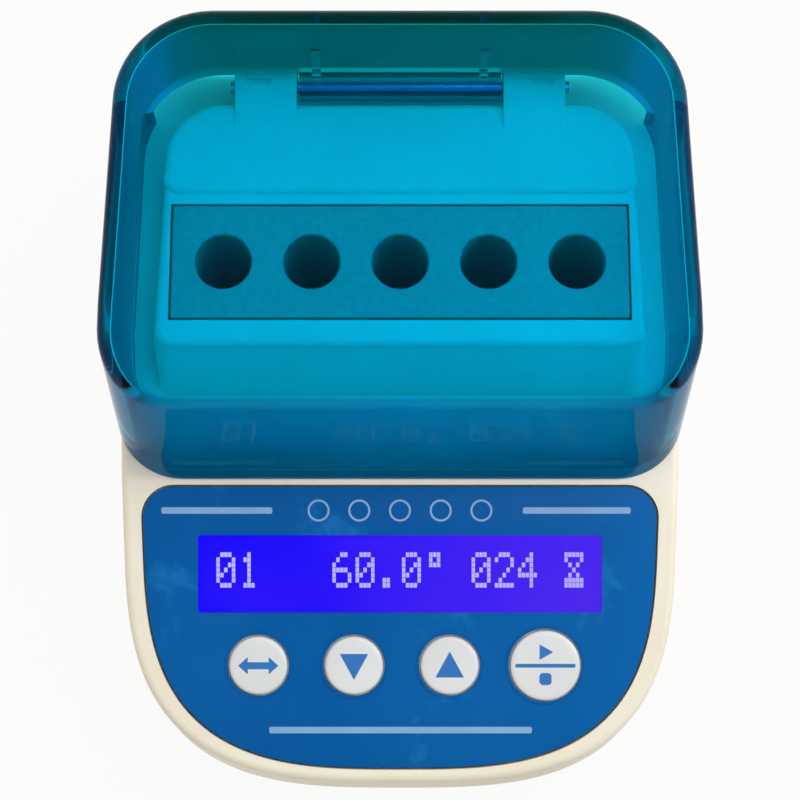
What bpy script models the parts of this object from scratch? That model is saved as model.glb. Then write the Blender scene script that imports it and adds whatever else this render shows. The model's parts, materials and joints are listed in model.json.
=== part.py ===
import bpy
import bmesh
from math import cos, pi, radians, sin, tan
from mathutils import Matrix, Vector

# Bench incubator for biological indicator vials. Lengths in metres, +Z up, front toward -Y.
# The origin is on the table, under the centre of the case.

# Clearances
FIT = 0.0003
SHEET_FIT = 0.0001

# Case: plan, walls and heights
CASE_WIDTH = 0.0910
CASE_WALL = 0.0022
CASE_EDGE = 0.0012
NOSE_DEPTH = 0.0379
NOSE_POWER = 3.1
REAR_CORNER = 0.0110
FOOT_STAND = 0.0020
PARTING_HEIGHT = 0.0140
LOWER_DRAFT = 0.00105
TONGUE_HEIGHT = 0.0014
TONGUE_THICKNESS = 0.0008
CONSOLE_LENGTH = 0.0479
CONSOLE_SLOPE = radians(15)
CONSOLE_TAPER = 0.035
TAPER_START = 0.0080
LEDGE_SLOPE = radians(2.45)
BREAK_HEIGHT = 0.0375

# Lid
LID_OVERHANG = 0.0006
LID_TAPER = 0.0012
LID_REAR_STEP = 0.0002
LID_HEIGHT = 0.0685
LID_WALL = 0.0022
LID_RAKE = radians(12.5)
LID_FRONT_CORNER = 0.0085
LID_REAR_CORNER = 0.0135
LID_EDGE = 0.0026

# Hinge
HINGE_TO_WALL = 0.0030
HINGE_RISE = 0.0071
RIM_BELOW_HINGE = 0.0019
RELIEF_BEFORE_HINGE = 0.0035
PIN_RADIUS = 0.0010
PIN_LENGTH = 0.0560
EAR_RADIUS = 0.0026
EAR_WIDTH = 0.0102
EAR_ROOT = 0.0065
EAR_POCKET = (0.0040, 0.0010, 0.0006)
EAR_POCKET_SHARE = 0.62
KNUCKLE_HALF = 0.0166
KNUCKLE_RADIUS = 0.0025
WEB_THICKNESS = 0.0020
GUSSET_X = 0.0137
GUSSET_THICKNESS = 0.0014
GUSSET_HEIGHT = 0.0085

# Deck that frames the block
DECK_RISE = 0.0101
DECK_STEP = 0.0006
DECK_SIDE_MARGIN = 0.0060
DECK_TAPER = 0.0012
DECK_SETBACK = 0.0191
DECK_RAKE = radians(38)
DECK_ROOT = 0.0040
DECK_REAR_RUN = 0.01595
DECK_TO_EAR = 0.0005
DECK_FRONT_CORNER = 0.0030
DECK_REAR_CORNER = 0.0095
DECK_EDGE = 0.0013

# Heating block and what surrounds it
DECK_FRAME = 0.0026
BLOCK_SETBACK = 0.00445
BLOCK_DEPTH = 0.0191
BLOCK_TALL = 0.0320
BLOCK_PROUD = 0.0002
BLOCK_EDGE = 0.0003
BLOCK_END_WALL = 0.0038
BLOCK_TO_STEP = 0.0018
WELL_COUNT = 5
WELL_RADIUS = 0.00455
WELL_DEPTH = 0.0275
WELL_CHAMFER = 0.0004
DRILL_TIP = 0.35
PAD_MARGIN = 0.0016
PAD_THICKNESS = 0.0012
INSULATION_WALL = 0.0037
INSULATION_FLOOR = 0.0050
INSULATION_TALL = 0.0260
INSULATION_CORNER = 0.0030
SEAT_RIB_THICKNESS = 0.0016
SEAT_RIB_SHARES = (-0.85, -0.3, 0.3, 0.85)
LEAD_NOTCH = 0.0040
CUTOUT_SIZE = (0.0120, 0.0060, 0.0034)
CUTOUT_EDGE = 0.0005
PROBE_RADIUS = 0.0012
PROBE_REACH = 0.0120
PROBE_TAIL = 0.0040

# Keypad on the console
PANEL_BORDER = 0.0033
PANEL_FRONT_BORDER = 0.0019
PANEL_REAR_GAP = 0.0014
PANEL_CORNER = 0.0053
OVERLAY_SINK = 0.0002
OVERLAY_THICKNESS = 0.0005
BACKING_THICKNESS = 0.0016
POCKET_FLOOR = 0.0010
WINDOW_SIDE_MARGIN = 0.0095
WINDOW_HEIGHT = 0.0124
WINDOW_FROM_BREAK = 0.0159
WINDOW_CORNER = 0.0006
KEY_ROW_DROP = 0.0148
KEY_COUNT = 4
KEY_SIDE_MARGIN = 0.01895
KEY_SHIFT = 0.0003
KEY_RADIUS = 0.0047
START_RADIUS = 0.00565
KEY_CLEARANCE = 0.0003
KEY_PROUD = 0.0004
KEY_TRAVEL = 0.0003
KEY_FLANGE_WIDTH = 0.0005
KEY_FLANGE = 0.0003
KEY_FLANGE_GAP = 0.00025
DOME_RADIUS = 0.0028
DOME_RISE = 0.0004
DOME_GAP = KEY_TRAVEL + 0.00005

# Display module
LCD_BORDER = 0.0010
BEZEL_BORDER = (0.0030, 0.0064)
BEZEL_TALL = 0.0048
BEZEL_SKIN = 0.0004
LCD_BOARD_BORDER = (0.0064, 0.0110)
BOARD_THICKNESS = 0.0016
LCD_HOLE_INSET = 0.0026
LCD_POST_RADIUS = 0.0018

# Controller board
MAIN_BOARD_SIZE = (0.0660, 0.0400)
MAIN_BOARD_FROM_NOSE = 0.0184
STANDOFF_TALL = 0.0035
STANDOFF_RADIUS = 0.0026
BOARD_HOLE_INSET = 0.0032

# Parts on the controller board, placed from its middle
PROCESSOR_SPOT = (0, -0.0040)
PROCESSOR_SIZE = (0.0100, 0.0100, 0.0014)
BUZZER_SPOT = (0.0220, 0.0055)
BUZZER_RADIUS = 0.0060
BUZZER_TALL = 0.0085
BUZZER_HOLE = (0.0012, 0.0005)
CAPACITOR_SPOT = (-0.0220, 0.0075)
CAPACITOR_RADIUS = 0.0040
CAPACITOR_TALL = 0.0110
DISPLAY_HEADER_Y = -0.0150
DISPLAY_HEADER_SIZE = (0.0406, 0.0025, 0.0080)
WIRE_HEADER_Y = 0.0155
WIRE_HEADER_SIZE = (0.0500, 0.0058, 0.0070)
HEAT_SINK_SPOT = (0.0040, 0.0065)
HEAT_SINK_SIZE = (0.0170, 0.0055, 0.0115)
HEAT_SINK_PLATE = 0.0016
FIN_COUNT = 4
FIN_THICKNESS = 0.0014
TRANSISTOR_SIZE = (0.0102, 0.0036, 0.0120)
PART_EDGE = 0.0003

# Inner wiring
LEAD_RADIUS = 0.0006
SUPPLY_RADIUS = 0.0008
LEAD_BEND = 0.0010

# Screws: shank radius, head radius, head height, length under the head
SMALL_SCREW = (0.0009, 0.0018, 0.0012, 0.0050)
CASE_SCREW = (0.0014, 0.0027, 0.0020, 0.0130)
SCREW_CLEARANCE = 0.0003
CASE_POST_RADIUS = 0.0032
FRONT_POST = (0.0220, 0.0084)
REAR_POST = (0.0080, 0.0080)
FRONT_FOOT = (0.0145, 0.0204)
REAR_FOOT = (0.0095, 0.0189)
FOOT_RADIUS = 0.0050
FOOT_SINK = 0.0006
VENT_COUNT = 5
VENT_PITCH = 0.0095
VENT_SIZE = (0.0022, 0.0110)
VENT_CORNER = 0.0010
VENT_FROM_REAR = 0.0139

# Rear fittings
BAY_SIZE = (0.0540, 0.0170)
BAY_DEPTH = 0.0028
BAY_CORNER = 0.0020
BAY_ABOVE_PARTING = 0.0120
SOCKET_X = -0.0150
SOCKET_RADIUS = 0.0052
SOCKET_FLANGE = (0.0062, 0.0012)
SOCKET_LENGTH = 0.0125
PLUG_BORE = (0.0032, 0.0095)
CONTACT_RADIUS = 0.0010
CONTACT_SINK = 0.0008
NUT_THICKNESS = 0.0022
NUT_RADIUS = 0.0074
SWITCH_X = 0.0150
SWITCH_BEZEL = (0.0150, 0.0105, 0.0014)
SWITCH_BODY = (0.0132, 0.0083, 0.0095)
SWITCH_WELL = (0.0118, 0.0070, 0.0042)
FITTING_EDGE = 0.0004
ROCKER_HALF = 0.0052
ROCKER_RISE = 0.0024
ROCKER_DIP = 0.0016
ROCKER_ROOT = (0.0030, 0.0020)
ROCKER_PIVOT = 0.0012
ROCKER_TILT = radians(9)
TRUNNION_RADIUS = 0.0008

# Facets
NOSE_STEPS = 26
CORNER_STEPS = 5
ROUND_STEPS = 24
SMALL_STEPS = 12

# Worked out from the sizes above
LID_LENGTH = (
    DECK_SETBACK + BLOCK_SETBACK + BLOCK_DEPTH + BLOCK_TO_STEP + DECK_REAR_RUN
    + DECK_TO_EAR + EAR_RADIUS + HINGE_TO_WALL + LID_WALL
)
CASE_LENGTH = CONSOLE_LENGTH + LID_LENGTH + LID_REAR_STEP
CASE_HALF = CASE_WIDTH / 2
CASE_REAR = CASE_LENGTH / 2
CASE_FRONT = -CASE_REAR
BREAK_Y = CASE_FRONT + CONSOLE_LENGTH
NOSE_Y = CASE_FRONT + NOSE_DEPTH
TAPER_Y = BREAK_Y + TAPER_START
CASE_TOP = BREAK_HEIGHT + CASE_LENGTH * tan(LEDGE_SLOPE) + DECK_RISE
CASE_FLOOR = FOOT_STAND + CASE_WALL
LID_REAR = CASE_REAR - LID_REAR_STEP
HINGE_Y = LID_REAR - LID_WALL - HINGE_TO_WALL
HINGE_Z = BREAK_HEIGHT + (HINGE_Y - BREAK_Y) * tan(LEDGE_SLOPE) + HINGE_RISE
DECK_HEIGHT = BREAK_HEIGHT + DECK_RISE
DECK_FRONT = BREAK_Y + DECK_SETBACK
DECK_REAR = HINGE_Y - EAR_RADIUS - DECK_TO_EAR
DECK_HALF = CASE_HALF - DECK_SIDE_MARGIN
BLOCK_WIDTH = 2 * (DECK_HALF - DECK_FRAME)
BLOCK_Y = DECK_FRONT + BLOCK_SETBACK + BLOCK_DEPTH / 2
BLOCK_TOP = DECK_HEIGHT + BLOCK_PROUD
BLOCK_BOTTOM = BLOCK_TOP - BLOCK_TALL
WELL_PITCH = (BLOCK_WIDTH - 2 * BLOCK_END_WALL - 2 * WELL_RADIUS) / (WELL_COUNT - 1)
WELL_XS = [(index - (WELL_COUNT - 1) / 2) * WELL_PITCH for index in range(WELL_COUNT)]
PROBE_X = WELL_XS[0] + WELL_PITCH / 2
PAD_TOP = BLOCK_BOTTOM - FIT
INSULATION_SEAT = PAD_TOP - PAD_THICKNESS - FIT
INSULATION_BOTTOM = INSULATION_SEAT - INSULATION_FLOOR
POCKET_DEPTH = OVERLAY_SINK + OVERLAY_THICKNESS + BACKING_THICKNESS + 2 * SHEET_FIT
OVERLAY_BOTTOM = -OVERLAY_SINK - OVERLAY_THICKNESS
BACKING_TOP = OVERLAY_BOTTOM - SHEET_FIT
KEY_BOTTOM = OVERLAY_BOTTOM - KEY_FLANGE_GAP - KEY_FLANGE
DOME_TOP = KEY_BOTTOM - DOME_GAP
KEY_CAVITY_FLOOR = DOME_TOP - DOME_RISE - SHEET_FIT
CONSOLE_WALL = POCKET_DEPTH + POCKET_FLOOR
WINDOW_SIZE = (CASE_WIDTH - 2 * (PANEL_BORDER + WINDOW_SIDE_MARGIN), WINDOW_HEIGHT)
LCD_OPENING = [side + 2 * LCD_BORDER for side in WINDOW_SIZE]
BEZEL_SIZE = [side + 2 * border for side, border in zip(WINDOW_SIZE, BEZEL_BORDER)]
LCD_BOARD_SIZE = [side + 2 * border for side, border in zip(WINDOW_SIZE, LCD_BOARD_BORDER)]
BEZEL_TOP = -CONSOLE_WALL - SHEET_FIT
LCD_BOARD_TOP = BEZEL_TOP - BEZEL_TALL - SHEET_FIT
KEY_ALONG = -WINDOW_FROM_BREAK - KEY_ROW_DROP
KEY_PITCH = (CASE_WIDTH - 2 * (PANEL_BORDER + KEY_SIDE_MARGIN)) / (KEY_COUNT - 1)
KEYS = {
    "key_menu": (KEY_SHIFT - 1.5 * KEY_PITCH, KEY_RADIUS),
    "key_down": (KEY_SHIFT - 0.5 * KEY_PITCH, KEY_RADIUS),
    "key_up": (KEY_SHIFT + 0.5 * KEY_PITCH, KEY_RADIUS),
    "key_start": (KEY_SHIFT + 1.5 * KEY_PITCH, START_RADIUS),
}
MAIN_BOARD_Y = CASE_FRONT + MAIN_BOARD_FROM_NOSE + MAIN_BOARD_SIZE[1] / 2
MAIN_BOARD_BOTTOM = CASE_FLOOR + STANDOFF_TALL + SHEET_FIT
MAIN_BOARD_TOP = MAIN_BOARD_BOTTOM + BOARD_THICKNESS
BAY_FLOOR_Y = CASE_REAR - BAY_DEPTH
BAY_Z = PARTING_HEIGHT + BAY_ABOVE_PARTING
REAR_WALL_INNER = BAY_FLOOR_Y - CASE_WALL
FRONT_POST_Y = CASE_FRONT + FRONT_POST[1]
REAR_POST_SPOT = (CASE_HALF - REAR_POST[0], CASE_REAR - REAR_POST[1])
CASE_POSTS = [
    (side * x, y)
    for side in (-1, 1)
    for x, y in ((FRONT_POST[0], FRONT_POST_Y), REAR_POST_SPOT)
]
FEET = [
    (side * x, y)
    for side in (-1, 1)
    for x, y in (
        (CASE_HALF - FRONT_FOOT[0], CASE_FRONT + FRONT_FOOT[1]),
        (CASE_HALF - REAR_FOOT[0], CASE_REAR - REAR_FOOT[1]),
    )
]

# The console frame has its origin on the break line, its Y up the slope and its Z out of the face.
CONSOLE = Matrix.Translation((0, BREAK_Y, BREAK_HEIGHT)) @ Matrix.Rotation(CONSOLE_SLOPE, 4, "X")
# The rear frame has its origin on the floor of the rear bay and its Z out of it.
REAR = Matrix(((-1, 0, 0, 0), (0, 0, 1, BAY_FLOOR_Y), (0, 1, 0, BAY_Z), (0, 0, 0, 1)))
# Turns an outline drawn in the Y-Z plane, extruded along X.
SIDEWAYS = Matrix(((0, 0, 1, 0), (1, 0, 0, 0), (0, 1, 0, 0), (0, 0, 0, 1)))

FINISHES = {
    "case_plastic": ((0.69, 0.66, 0.57), 0.45, 0.0, 0.0),
    "deck_plastic": ((0.80, 0.80, 0.76), 0.45, 0.0, 0.0),
    "lid_plastic": ((0.01, 0.22, 0.46), 0.12, 0.0, 0.75),
    "panel_film": ((0.01, 0.12, 0.36), 0.30, 0.0, 0.0),
    "key_white": ((0.80, 0.80, 0.80), 0.40, 0.0, 0.0),
    "clear_pane": ((0.85, 0.88, 0.95), 0.08, 0.0, 0.9),
    "display_blue": ((0.03, 0.01, 0.95), 0.25, 0.0, 0.0),
    "aluminium": ((0.62, 0.63, 0.64), 0.42, 1.0, 0.0),
    "steel": ((0.55, 0.55, 0.56), 0.30, 1.0, 0.0),
    "board_green": ((0.02, 0.16, 0.07), 0.50, 0.0, 0.0),
    "black_plastic": ((0.02, 0.02, 0.02), 0.45, 0.0, 0.0),
    "rubber": ((0.03, 0.03, 0.03), 0.85, 0.0, 0.0),
    "silicone": ((0.55, 0.12, 0.05), 0.60, 0.0, 0.0),
    "foam": ((0.20, 0.20, 0.20), 0.95, 0.0, 0.0),
    "wire_red": ((0.50, 0.02, 0.02), 0.50, 0.0, 0.0),
}


# Scene and materials

def clear_scene():
    for obj in list(bpy.data.objects):
        bpy.data.objects.remove(obj, do_unlink=True)


def new_collection(name):
    collection = bpy.data.collections.new(name)
    bpy.context.scene.collection.children.link(collection)
    return collection


def finish(name):
    material = bpy.data.materials.get(name)
    if material is None:
        colour, roughness, metallic, transmission = FINISHES[name]
        material = bpy.data.materials.new(name)
        material.use_nodes = True
        shader = material.node_tree.nodes["Principled BSDF"]
        shader.inputs["Base Color"].default_value = (*colour, 1.0)
        shader.inputs["Roughness"].default_value = roughness
        shader.inputs["Metallic"].default_value = metallic
        shader.inputs["Transmission Weight"].default_value = transmission
    return material


def new_object(name, bm, material, matrix=None, smooth=False):
    mesh = bpy.data.meshes.new(name)
    bm.to_mesh(mesh)
    bm.free()
    if smooth:
        mesh.shade_smooth()
        mesh.set_sharp_from_angle(angle=radians(35))
    obj = bpy.data.objects.new(name, mesh)
    mesh.materials.append(finish(material))
    if matrix is not None:
        obj.matrix_world = matrix
    PARTS.objects.link(obj)
    return obj


def new_tool(name, bm, matrix=None):
    mesh = bpy.data.meshes.new(name)
    bm.to_mesh(mesh)
    bm.free()
    tool = bpy.data.objects.new(name, mesh)
    if matrix is not None:
        tool.matrix_world = matrix
    tool.hide_render = True
    tool.display_type = "WIRE"
    TOOLS.objects.link(tool)
    return tool


def combine(target, tool, operation):
    modifier = target.modifiers.new(tool.name, "BOOLEAN")
    modifier.operation = operation
    modifier.object = tool


def cut(target, name, bm, matrix=None):
    combine(target, new_tool(name, bm, matrix), "DIFFERENCE")


def join(target, name, bm, matrix=None):
    combine(target, new_tool(name, bm, matrix), "UNION")


# Outlines and solids

def arc(centre, radius, start, sweep=pi / 2, steps=CORNER_STEPS):
    angles = [start + sweep * step / steps for step in range(steps + 1)]
    return [(centre[0] + radius * cos(angle), centre[1] + radius * sin(angle)) for angle in angles]


def nose_points(half_width, nose_depth, nose_y, taper_y):
    # A superellipse in front of the nose line, whose sides draw in from the taper line.
    points = []
    for step in range(NOSE_STEPS + 1):
        angle = pi * step / NOSE_STEPS
        across = abs(cos(angle)) ** (2 / NOSE_POWER)
        along = abs(sin(angle)) ** (2 / NOSE_POWER)
        side = -1 if 2 * step < NOSE_STEPS else 1
        y = nose_y - nose_depth * along
        points.append((side * (half_width - CONSOLE_TAPER * (taper_y - y)) * across, y))
    return points


def rear_corners(half_width, rear_y, corner):
    points = arc((half_width - corner, rear_y - corner), corner, 0)
    return points + arc((corner - half_width, rear_y - corner), corner, pi / 2)


def rounded_outline(front_half, rear_half, front_y, rear_y, front_corner, rear_corner):
    points = arc((front_corner - front_half, front_y + front_corner), front_corner, pi)
    points += arc((front_half - front_corner, front_y + front_corner), front_corner, 1.5 * pi)
    return points + rear_corners(rear_half, rear_y, rear_corner)


def rounded_rectangle(size, corner, centre=(0, 0)):
    half = size[0] / 2
    points = rounded_outline(half, half, -size[1] / 2, size[1] / 2, corner, corner)
    return [(x + centre[0], y + centre[1]) for x, y in points]


def prism(points, low, high, bm=None):
    bm = bm or bmesh.new()
    base = bm.faces.new([bm.verts.new((x, y, low)) for x, y in points])
    raised = bmesh.ops.extrude_face_region(bm, geom=[base])
    top = [item for item in raised["geom"] if isinstance(item, bmesh.types.BMVert)]
    bmesh.ops.translate(bm, vec=(0, 0, high - low), verts=top)
    bmesh.ops.recalc_face_normals(bm, faces=bm.faces)
    return bm


def raked_prism(points, low, high, rake):
    # The front half of the top outline stands back, so the front wall leans.
    bm = prism(points, low, high)
    middle = (min(y for _, y in points) + max(y for _, y in points)) / 2
    for vert in bm.verts:
        if vert.co.z > (low + high) / 2 and vert.co.y < middle:
            vert.co.y += (high - low) * tan(rake)
    return bm


def slice_off(bm, point, normal):
    # Removes what lies beyond the plane and closes the cut.
    geometry = bm.verts[:] + bm.edges[:] + bm.faces[:]
    found = bmesh.ops.bisect_plane(
        bm, geom=geometry, plane_co=point, plane_no=normal, clear_outer=True
    )
    edges = [item for item in found["geom_cut"] if isinstance(item, bmesh.types.BMEdge)]
    bmesh.ops.edgeloop_fill(bm, edges=edges)
    bmesh.ops.recalc_face_normals(bm, faces=bm.faces)


def round_edges(bm, radius, segments, where=None):
    edges = [edge for edge in bm.edges if edge.calc_face_angle(0) > radians(40)]
    if where is not None:
        edges = [edge for edge in edges if where(edge)]
    bmesh.ops.bevel(
        bm,
        geom=edges,
        offset=radius,
        offset_type="OFFSET",
        segments=segments,
        profile=0.5,
        affect="EDGES",
    )


def add_box(bm, size, centre):
    made = bmesh.ops.create_cube(bm, size=1)
    bmesh.ops.scale(bm, vec=size, verts=made["verts"])
    bmesh.ops.translate(bm, vec=centre, verts=made["verts"])
    return bm


def box(size, centre=(0, 0, 0)):
    return add_box(bmesh.new(), size, centre)


def box_between(low, high):
    size = [top - bottom for bottom, top in zip(low, high)]
    centre = [(top + bottom) / 2 for bottom, top in zip(low, high)]
    return box(size, centre)


def add_cylinder(bm, radius, low, high, spot, steps=SMALL_STEPS):
    made = bmesh.ops.create_cone(
        bm, cap_ends=True, segments=steps, radius1=radius, radius2=radius, depth=high - low
    )
    bmesh.ops.translate(bm, vec=(*spot, (low + high) / 2), verts=made["verts"])
    return bm


def turned(profile, steps):
    # A profile of radius and height, turned about Z.
    bm = bmesh.new()
    verts = [bm.verts.new((radius, 0, height)) for radius, height in profile]
    edges = [bm.edges.new(pair) for pair in zip(verts, verts[1:])]
    bmesh.ops.spin(
        bm,
        geom=verts + edges,
        cent=(0, 0, 0),
        axis=(0, 0, 1),
        dvec=(0, 0, 0),
        angle=2 * pi,
        steps=steps,
        use_merge=True,
    )
    bmesh.ops.remove_doubles(bm, verts=bm.verts, dist=0.000001)
    bmesh.ops.recalc_face_normals(bm, faces=bm.faces)
    return bm


def add_turned(bm, profile, steps, spot):
    made = turned(profile, steps)
    bmesh.ops.translate(made, vec=spot, verts=made.verts)
    mesh = bpy.data.meshes.new("turned")
    made.to_mesh(mesh)
    made.free()
    bm.from_mesh(mesh)
    bpy.data.meshes.remove(mesh)


def ledge_plane(lift):
    normal = Vector((0, -sin(LEDGE_SLOPE), cos(LEDGE_SLOPE)))
    return Vector((0, BREAK_Y, BREAK_HEIGHT)) + normal * lift, normal


def console_plane(lift):
    normal = Vector((0, -sin(CONSOLE_SLOPE), cos(CONSOLE_SLOPE)))
    return Vector((0, BREAK_Y, BREAK_HEIGHT)) + normal * lift, normal


# Case

def case_outline(inset):
    half = CASE_HALF - inset
    points = nose_points(half, NOSE_DEPTH - inset, NOSE_Y, TAPER_Y)
    points.append((half, TAPER_Y))
    points += rear_corners(half, CASE_REAR - inset, REAR_CORNER - inset)
    points.append((-half, TAPER_Y))
    return points


def draw_in(bm):
    # Below the parting line the walls lean inward, toward the table.
    geometry = bm.verts[:] + bm.edges[:] + bm.faces[:]
    parting = (0, 0, PARTING_HEIGHT)
    bmesh.ops.bisect_plane(bm, geom=geometry, plane_co=parting, plane_no=(0, 0, 1))
    for vert in bm.verts:
        share = max(PARTING_HEIGHT - vert.co.z, 0) / (PARTING_HEIGHT - FOOT_STAND)
        vert.co.x *= 1 - share * LOWER_DRAFT / CASE_HALF
        vert.co.y *= 1 - share * LOWER_DRAFT / CASE_REAR


def case_blank():
    bm = prism(case_outline(0), FOOT_STAND, CASE_TOP)
    slice_off(bm, *console_plane(0))
    slice_off(bm, *ledge_plane(0))
    round_edges(bm, CASE_EDGE, 3)
    draw_in(bm)
    return bm


def case_cavity():
    bm = prism(case_outline(CASE_WALL), CASE_FLOOR, CASE_TOP)
    slice_off(bm, *console_plane(-CONSOLE_WALL))
    slice_off(bm, *ledge_plane(-CASE_WALL))
    draw_in(bm)
    return bm


def deck_blank(front, rake, top, inset=0):
    low = BREAK_HEIGHT - DECK_ROOT
    half = DECK_HALF - inset
    outline = rounded_outline(
        half,
        half - DECK_TAPER,
        front - (top - low) * tan(rake) + inset / cos(rake),
        DECK_REAR - inset,
        DECK_FRONT_CORNER,
        DECK_REAR_CORNER - inset,
    )
    bm = raked_prism(outline, low, top - inset, rake)
    if not inset:
        round_edges(bm, DECK_EDGE, 3, lambda edge: min(vert.co.z for vert in edge.verts) > low)
    return bm


def ear_blanks():
    root = DECK_REAR - EAR_ROOT
    foot = HINGE_Z - EAR_RADIUS
    outline = arc((HINGE_Y, HINGE_Z), EAR_RADIUS, -pi / 2, pi, 2 * CORNER_STEPS)
    outline += [(root, DECK_HEIGHT + DECK_STEP - FIT), (root, foot)]
    bm = bmesh.new()
    for inner in (KNUCKLE_HALF + FIT, -KNUCKLE_HALF - FIT - EAR_WIDTH):
        prism(outline, inner, inner + EAR_WIDTH, bm)
    return bm


def ear_pockets():
    bm = bmesh.new()
    spot = KNUCKLE_HALF + FIT + EAR_WIDTH * EAR_POCKET_SHARE
    height = HINGE_Z + EAR_RADIUS - EAR_POCKET[2] / 2
    for side in (-1, 1):
        size = (EAR_POCKET[0], EAR_POCKET[1], 2 * EAR_POCKET[2])
        add_box(bm, size, (side * spot, HINGE_Y, height + EAR_POCKET[2] / 2))
    return bm


def post_top(y):
    # The posts end inside the roof, under the console or under the ledge.
    plane, normal = console_plane(-CONSOLE_WALL) if y < BREAK_Y else ledge_plane(-CASE_WALL)
    return plane.z - (y - plane.y) * normal.y / normal.z + CASE_WALL / 2


def case_posts():
    bm = bmesh.new()
    for x, y in CASE_POSTS:
        low = CASE_FLOOR + STANDOFF_TALL + FIT
        add_cylinder(bm, CASE_POST_RADIUS, low, post_top(y), (x, y))
    return bm


def case_post_bores():
    bm = bmesh.new()
    radius = CASE_SCREW[0] + SCREW_CLEARANCE
    for x, y in CASE_POSTS:
        low = CASE_FLOOR + STANDOFF_TALL - FIT
        add_cylinder(bm, radius, low, FOOT_STAND + CASE_SCREW[3] + CASE_SCREW[2], (x, y))
    return bm


def lcd_spots():
    across = LCD_BOARD_SIZE[0] / 2 - LCD_HOLE_INSET
    along = LCD_BOARD_SIZE[1] / 2 - LCD_HOLE_INSET
    return [(sx * across, sy * along - WINDOW_FROM_BREAK) for sx in (-1, 1) for sy in (-1, 1)]


def lcd_posts():
    bm = bmesh.new()
    for spot in lcd_spots():
        low = LCD_BOARD_TOP + SHEET_FIT
        add_cylinder(bm, LCD_POST_RADIUS, low, -CONSOLE_WALL + POCKET_FLOOR / 2, spot)
    return bm


def lcd_post_bores():
    bm = bmesh.new()
    radius = SMALL_SCREW[0] + SCREW_CLEARANCE
    for spot in lcd_spots():
        low = LCD_BOARD_TOP - FIT
        add_cylinder(bm, radius, low, -CONSOLE_WALL - POCKET_FLOOR / 2, spot)
    return bm


def panel_outline(inset):
    slope = cos(CONSOLE_SLOPE)
    half = CASE_HALF - PANEL_BORDER - inset
    depth = (NOSE_DEPTH - PANEL_FRONT_BORDER) / slope - inset
    points = nose_points(half, depth, (NOSE_Y - BREAK_Y) / slope, 0)
    half -= CONSOLE_TAPER * (PANEL_REAR_GAP + PANEL_CORNER)
    return points + rear_corners(half, -PANEL_REAR_GAP - inset, PANEL_CORNER - inset)


def lcd_opening(low, high, growth=0.0):
    size = [side + 2 * growth for side in LCD_OPENING]
    outline = rounded_rectangle(size, WINDOW_CORNER, (0, -WINDOW_FROM_BREAK))
    return prism(outline, low, high)


def upper_case():
    bm = case_blank()
    slice_off(bm, Vector((0, 0, PARTING_HEIGHT + FIT / 2)), Vector((0, 0, -1)))
    case = new_object("upper_case", bm, "case_plastic")
    join(case, "deck_front_blank", deck_blank(DECK_FRONT, DECK_RAKE, DECK_HEIGHT))
    step_y = BLOCK_Y + BLOCK_DEPTH / 2 + BLOCK_TO_STEP
    join(case, "deck_rear_blank", deck_blank(step_y, 0, DECK_HEIGHT + DECK_STEP))
    join(case, "ear_blanks", ear_blanks(), SIDEWAYS)
    cut(case, "case_cavity_upper", case_cavity())
    cut(case, "deck_cavity", deck_blank(DECK_FRONT, DECK_RAKE, DECK_HEIGHT, CASE_WALL))
    rebate = TONGUE_THICKNESS + FIT
    bm = prism(case_outline(CASE_WALL - rebate), 0, PARTING_HEIGHT + TONGUE_HEIGHT + FIT)
    cut(case, "tongue_rebate", bm)
    join(case, "case_posts", case_posts())
    join(case, "lcd_posts", lcd_posts(), CONSOLE)
    half = BAY_SIZE[0] / 2 + CASE_WALL
    low = (-half, REAR_WALL_INNER, PARTING_HEIGHT + TONGUE_HEIGHT + FIT)
    high = (half, CASE_REAR - CASE_WALL / 2, BAY_Z + BAY_SIZE[1] / 2 + CASE_WALL)
    join(case, "bay_wall", box_between(low, high))
    cut(case, "keypad_pocket", prism(panel_outline(0), -POCKET_DEPTH, CASE_WALL), CONSOLE)
    cut(case, "display_opening", lcd_opening(-2 * CONSOLE_WALL, 0), CONSOLE)
    size = (BLOCK_WIDTH + 2 * FIT, BLOCK_DEPTH + 2 * FIT, 2 * (DECK_RISE + DECK_ROOT))
    cut(case, "block_opening", box(size, (0, BLOCK_Y, DECK_HEIGHT)))
    cut(case, "case_post_bores", case_post_bores())
    cut(case, "lcd_post_bores", lcd_post_bores(), CONSOLE)
    bm = prism(rounded_rectangle(BAY_SIZE, BAY_CORNER), 0, 2 * BAY_DEPTH)
    cut(case, "rear_bay", bm, REAR)
    bm = add_cylinder(
        bmesh.new(), SOCKET_RADIUS + FIT, -2 * CASE_WALL, CASE_WALL, (-SOCKET_X, 0), ROUND_STEPS
    )
    size = (SWITCH_BODY[0] + 2 * FIT, SWITCH_BODY[1] + 2 * FIT, 4 * CASE_WALL)
    add_box(bm, size, (-SWITCH_X, 0, 0))
    cut(case, "rear_cutouts", bm, REAR)
    bm = add_cylinder(
        bmesh.new(), PIN_RADIUS + SHEET_FIT, -PIN_LENGTH, PIN_LENGTH, (HINGE_Y, HINGE_Z)
    )
    cut(case, "ear_bores", bm, SIDEWAYS)
    cut(case, "ear_pockets", ear_pockets())


def board_spots():
    across = MAIN_BOARD_SIZE[0] / 2 - BOARD_HOLE_INSET
    along = MAIN_BOARD_SIZE[1] / 2 - BOARD_HOLE_INSET
    return [(sx * across, MAIN_BOARD_Y + sy * along) for sx in (-1, 1) for sy in (-1, 1)]


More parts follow.
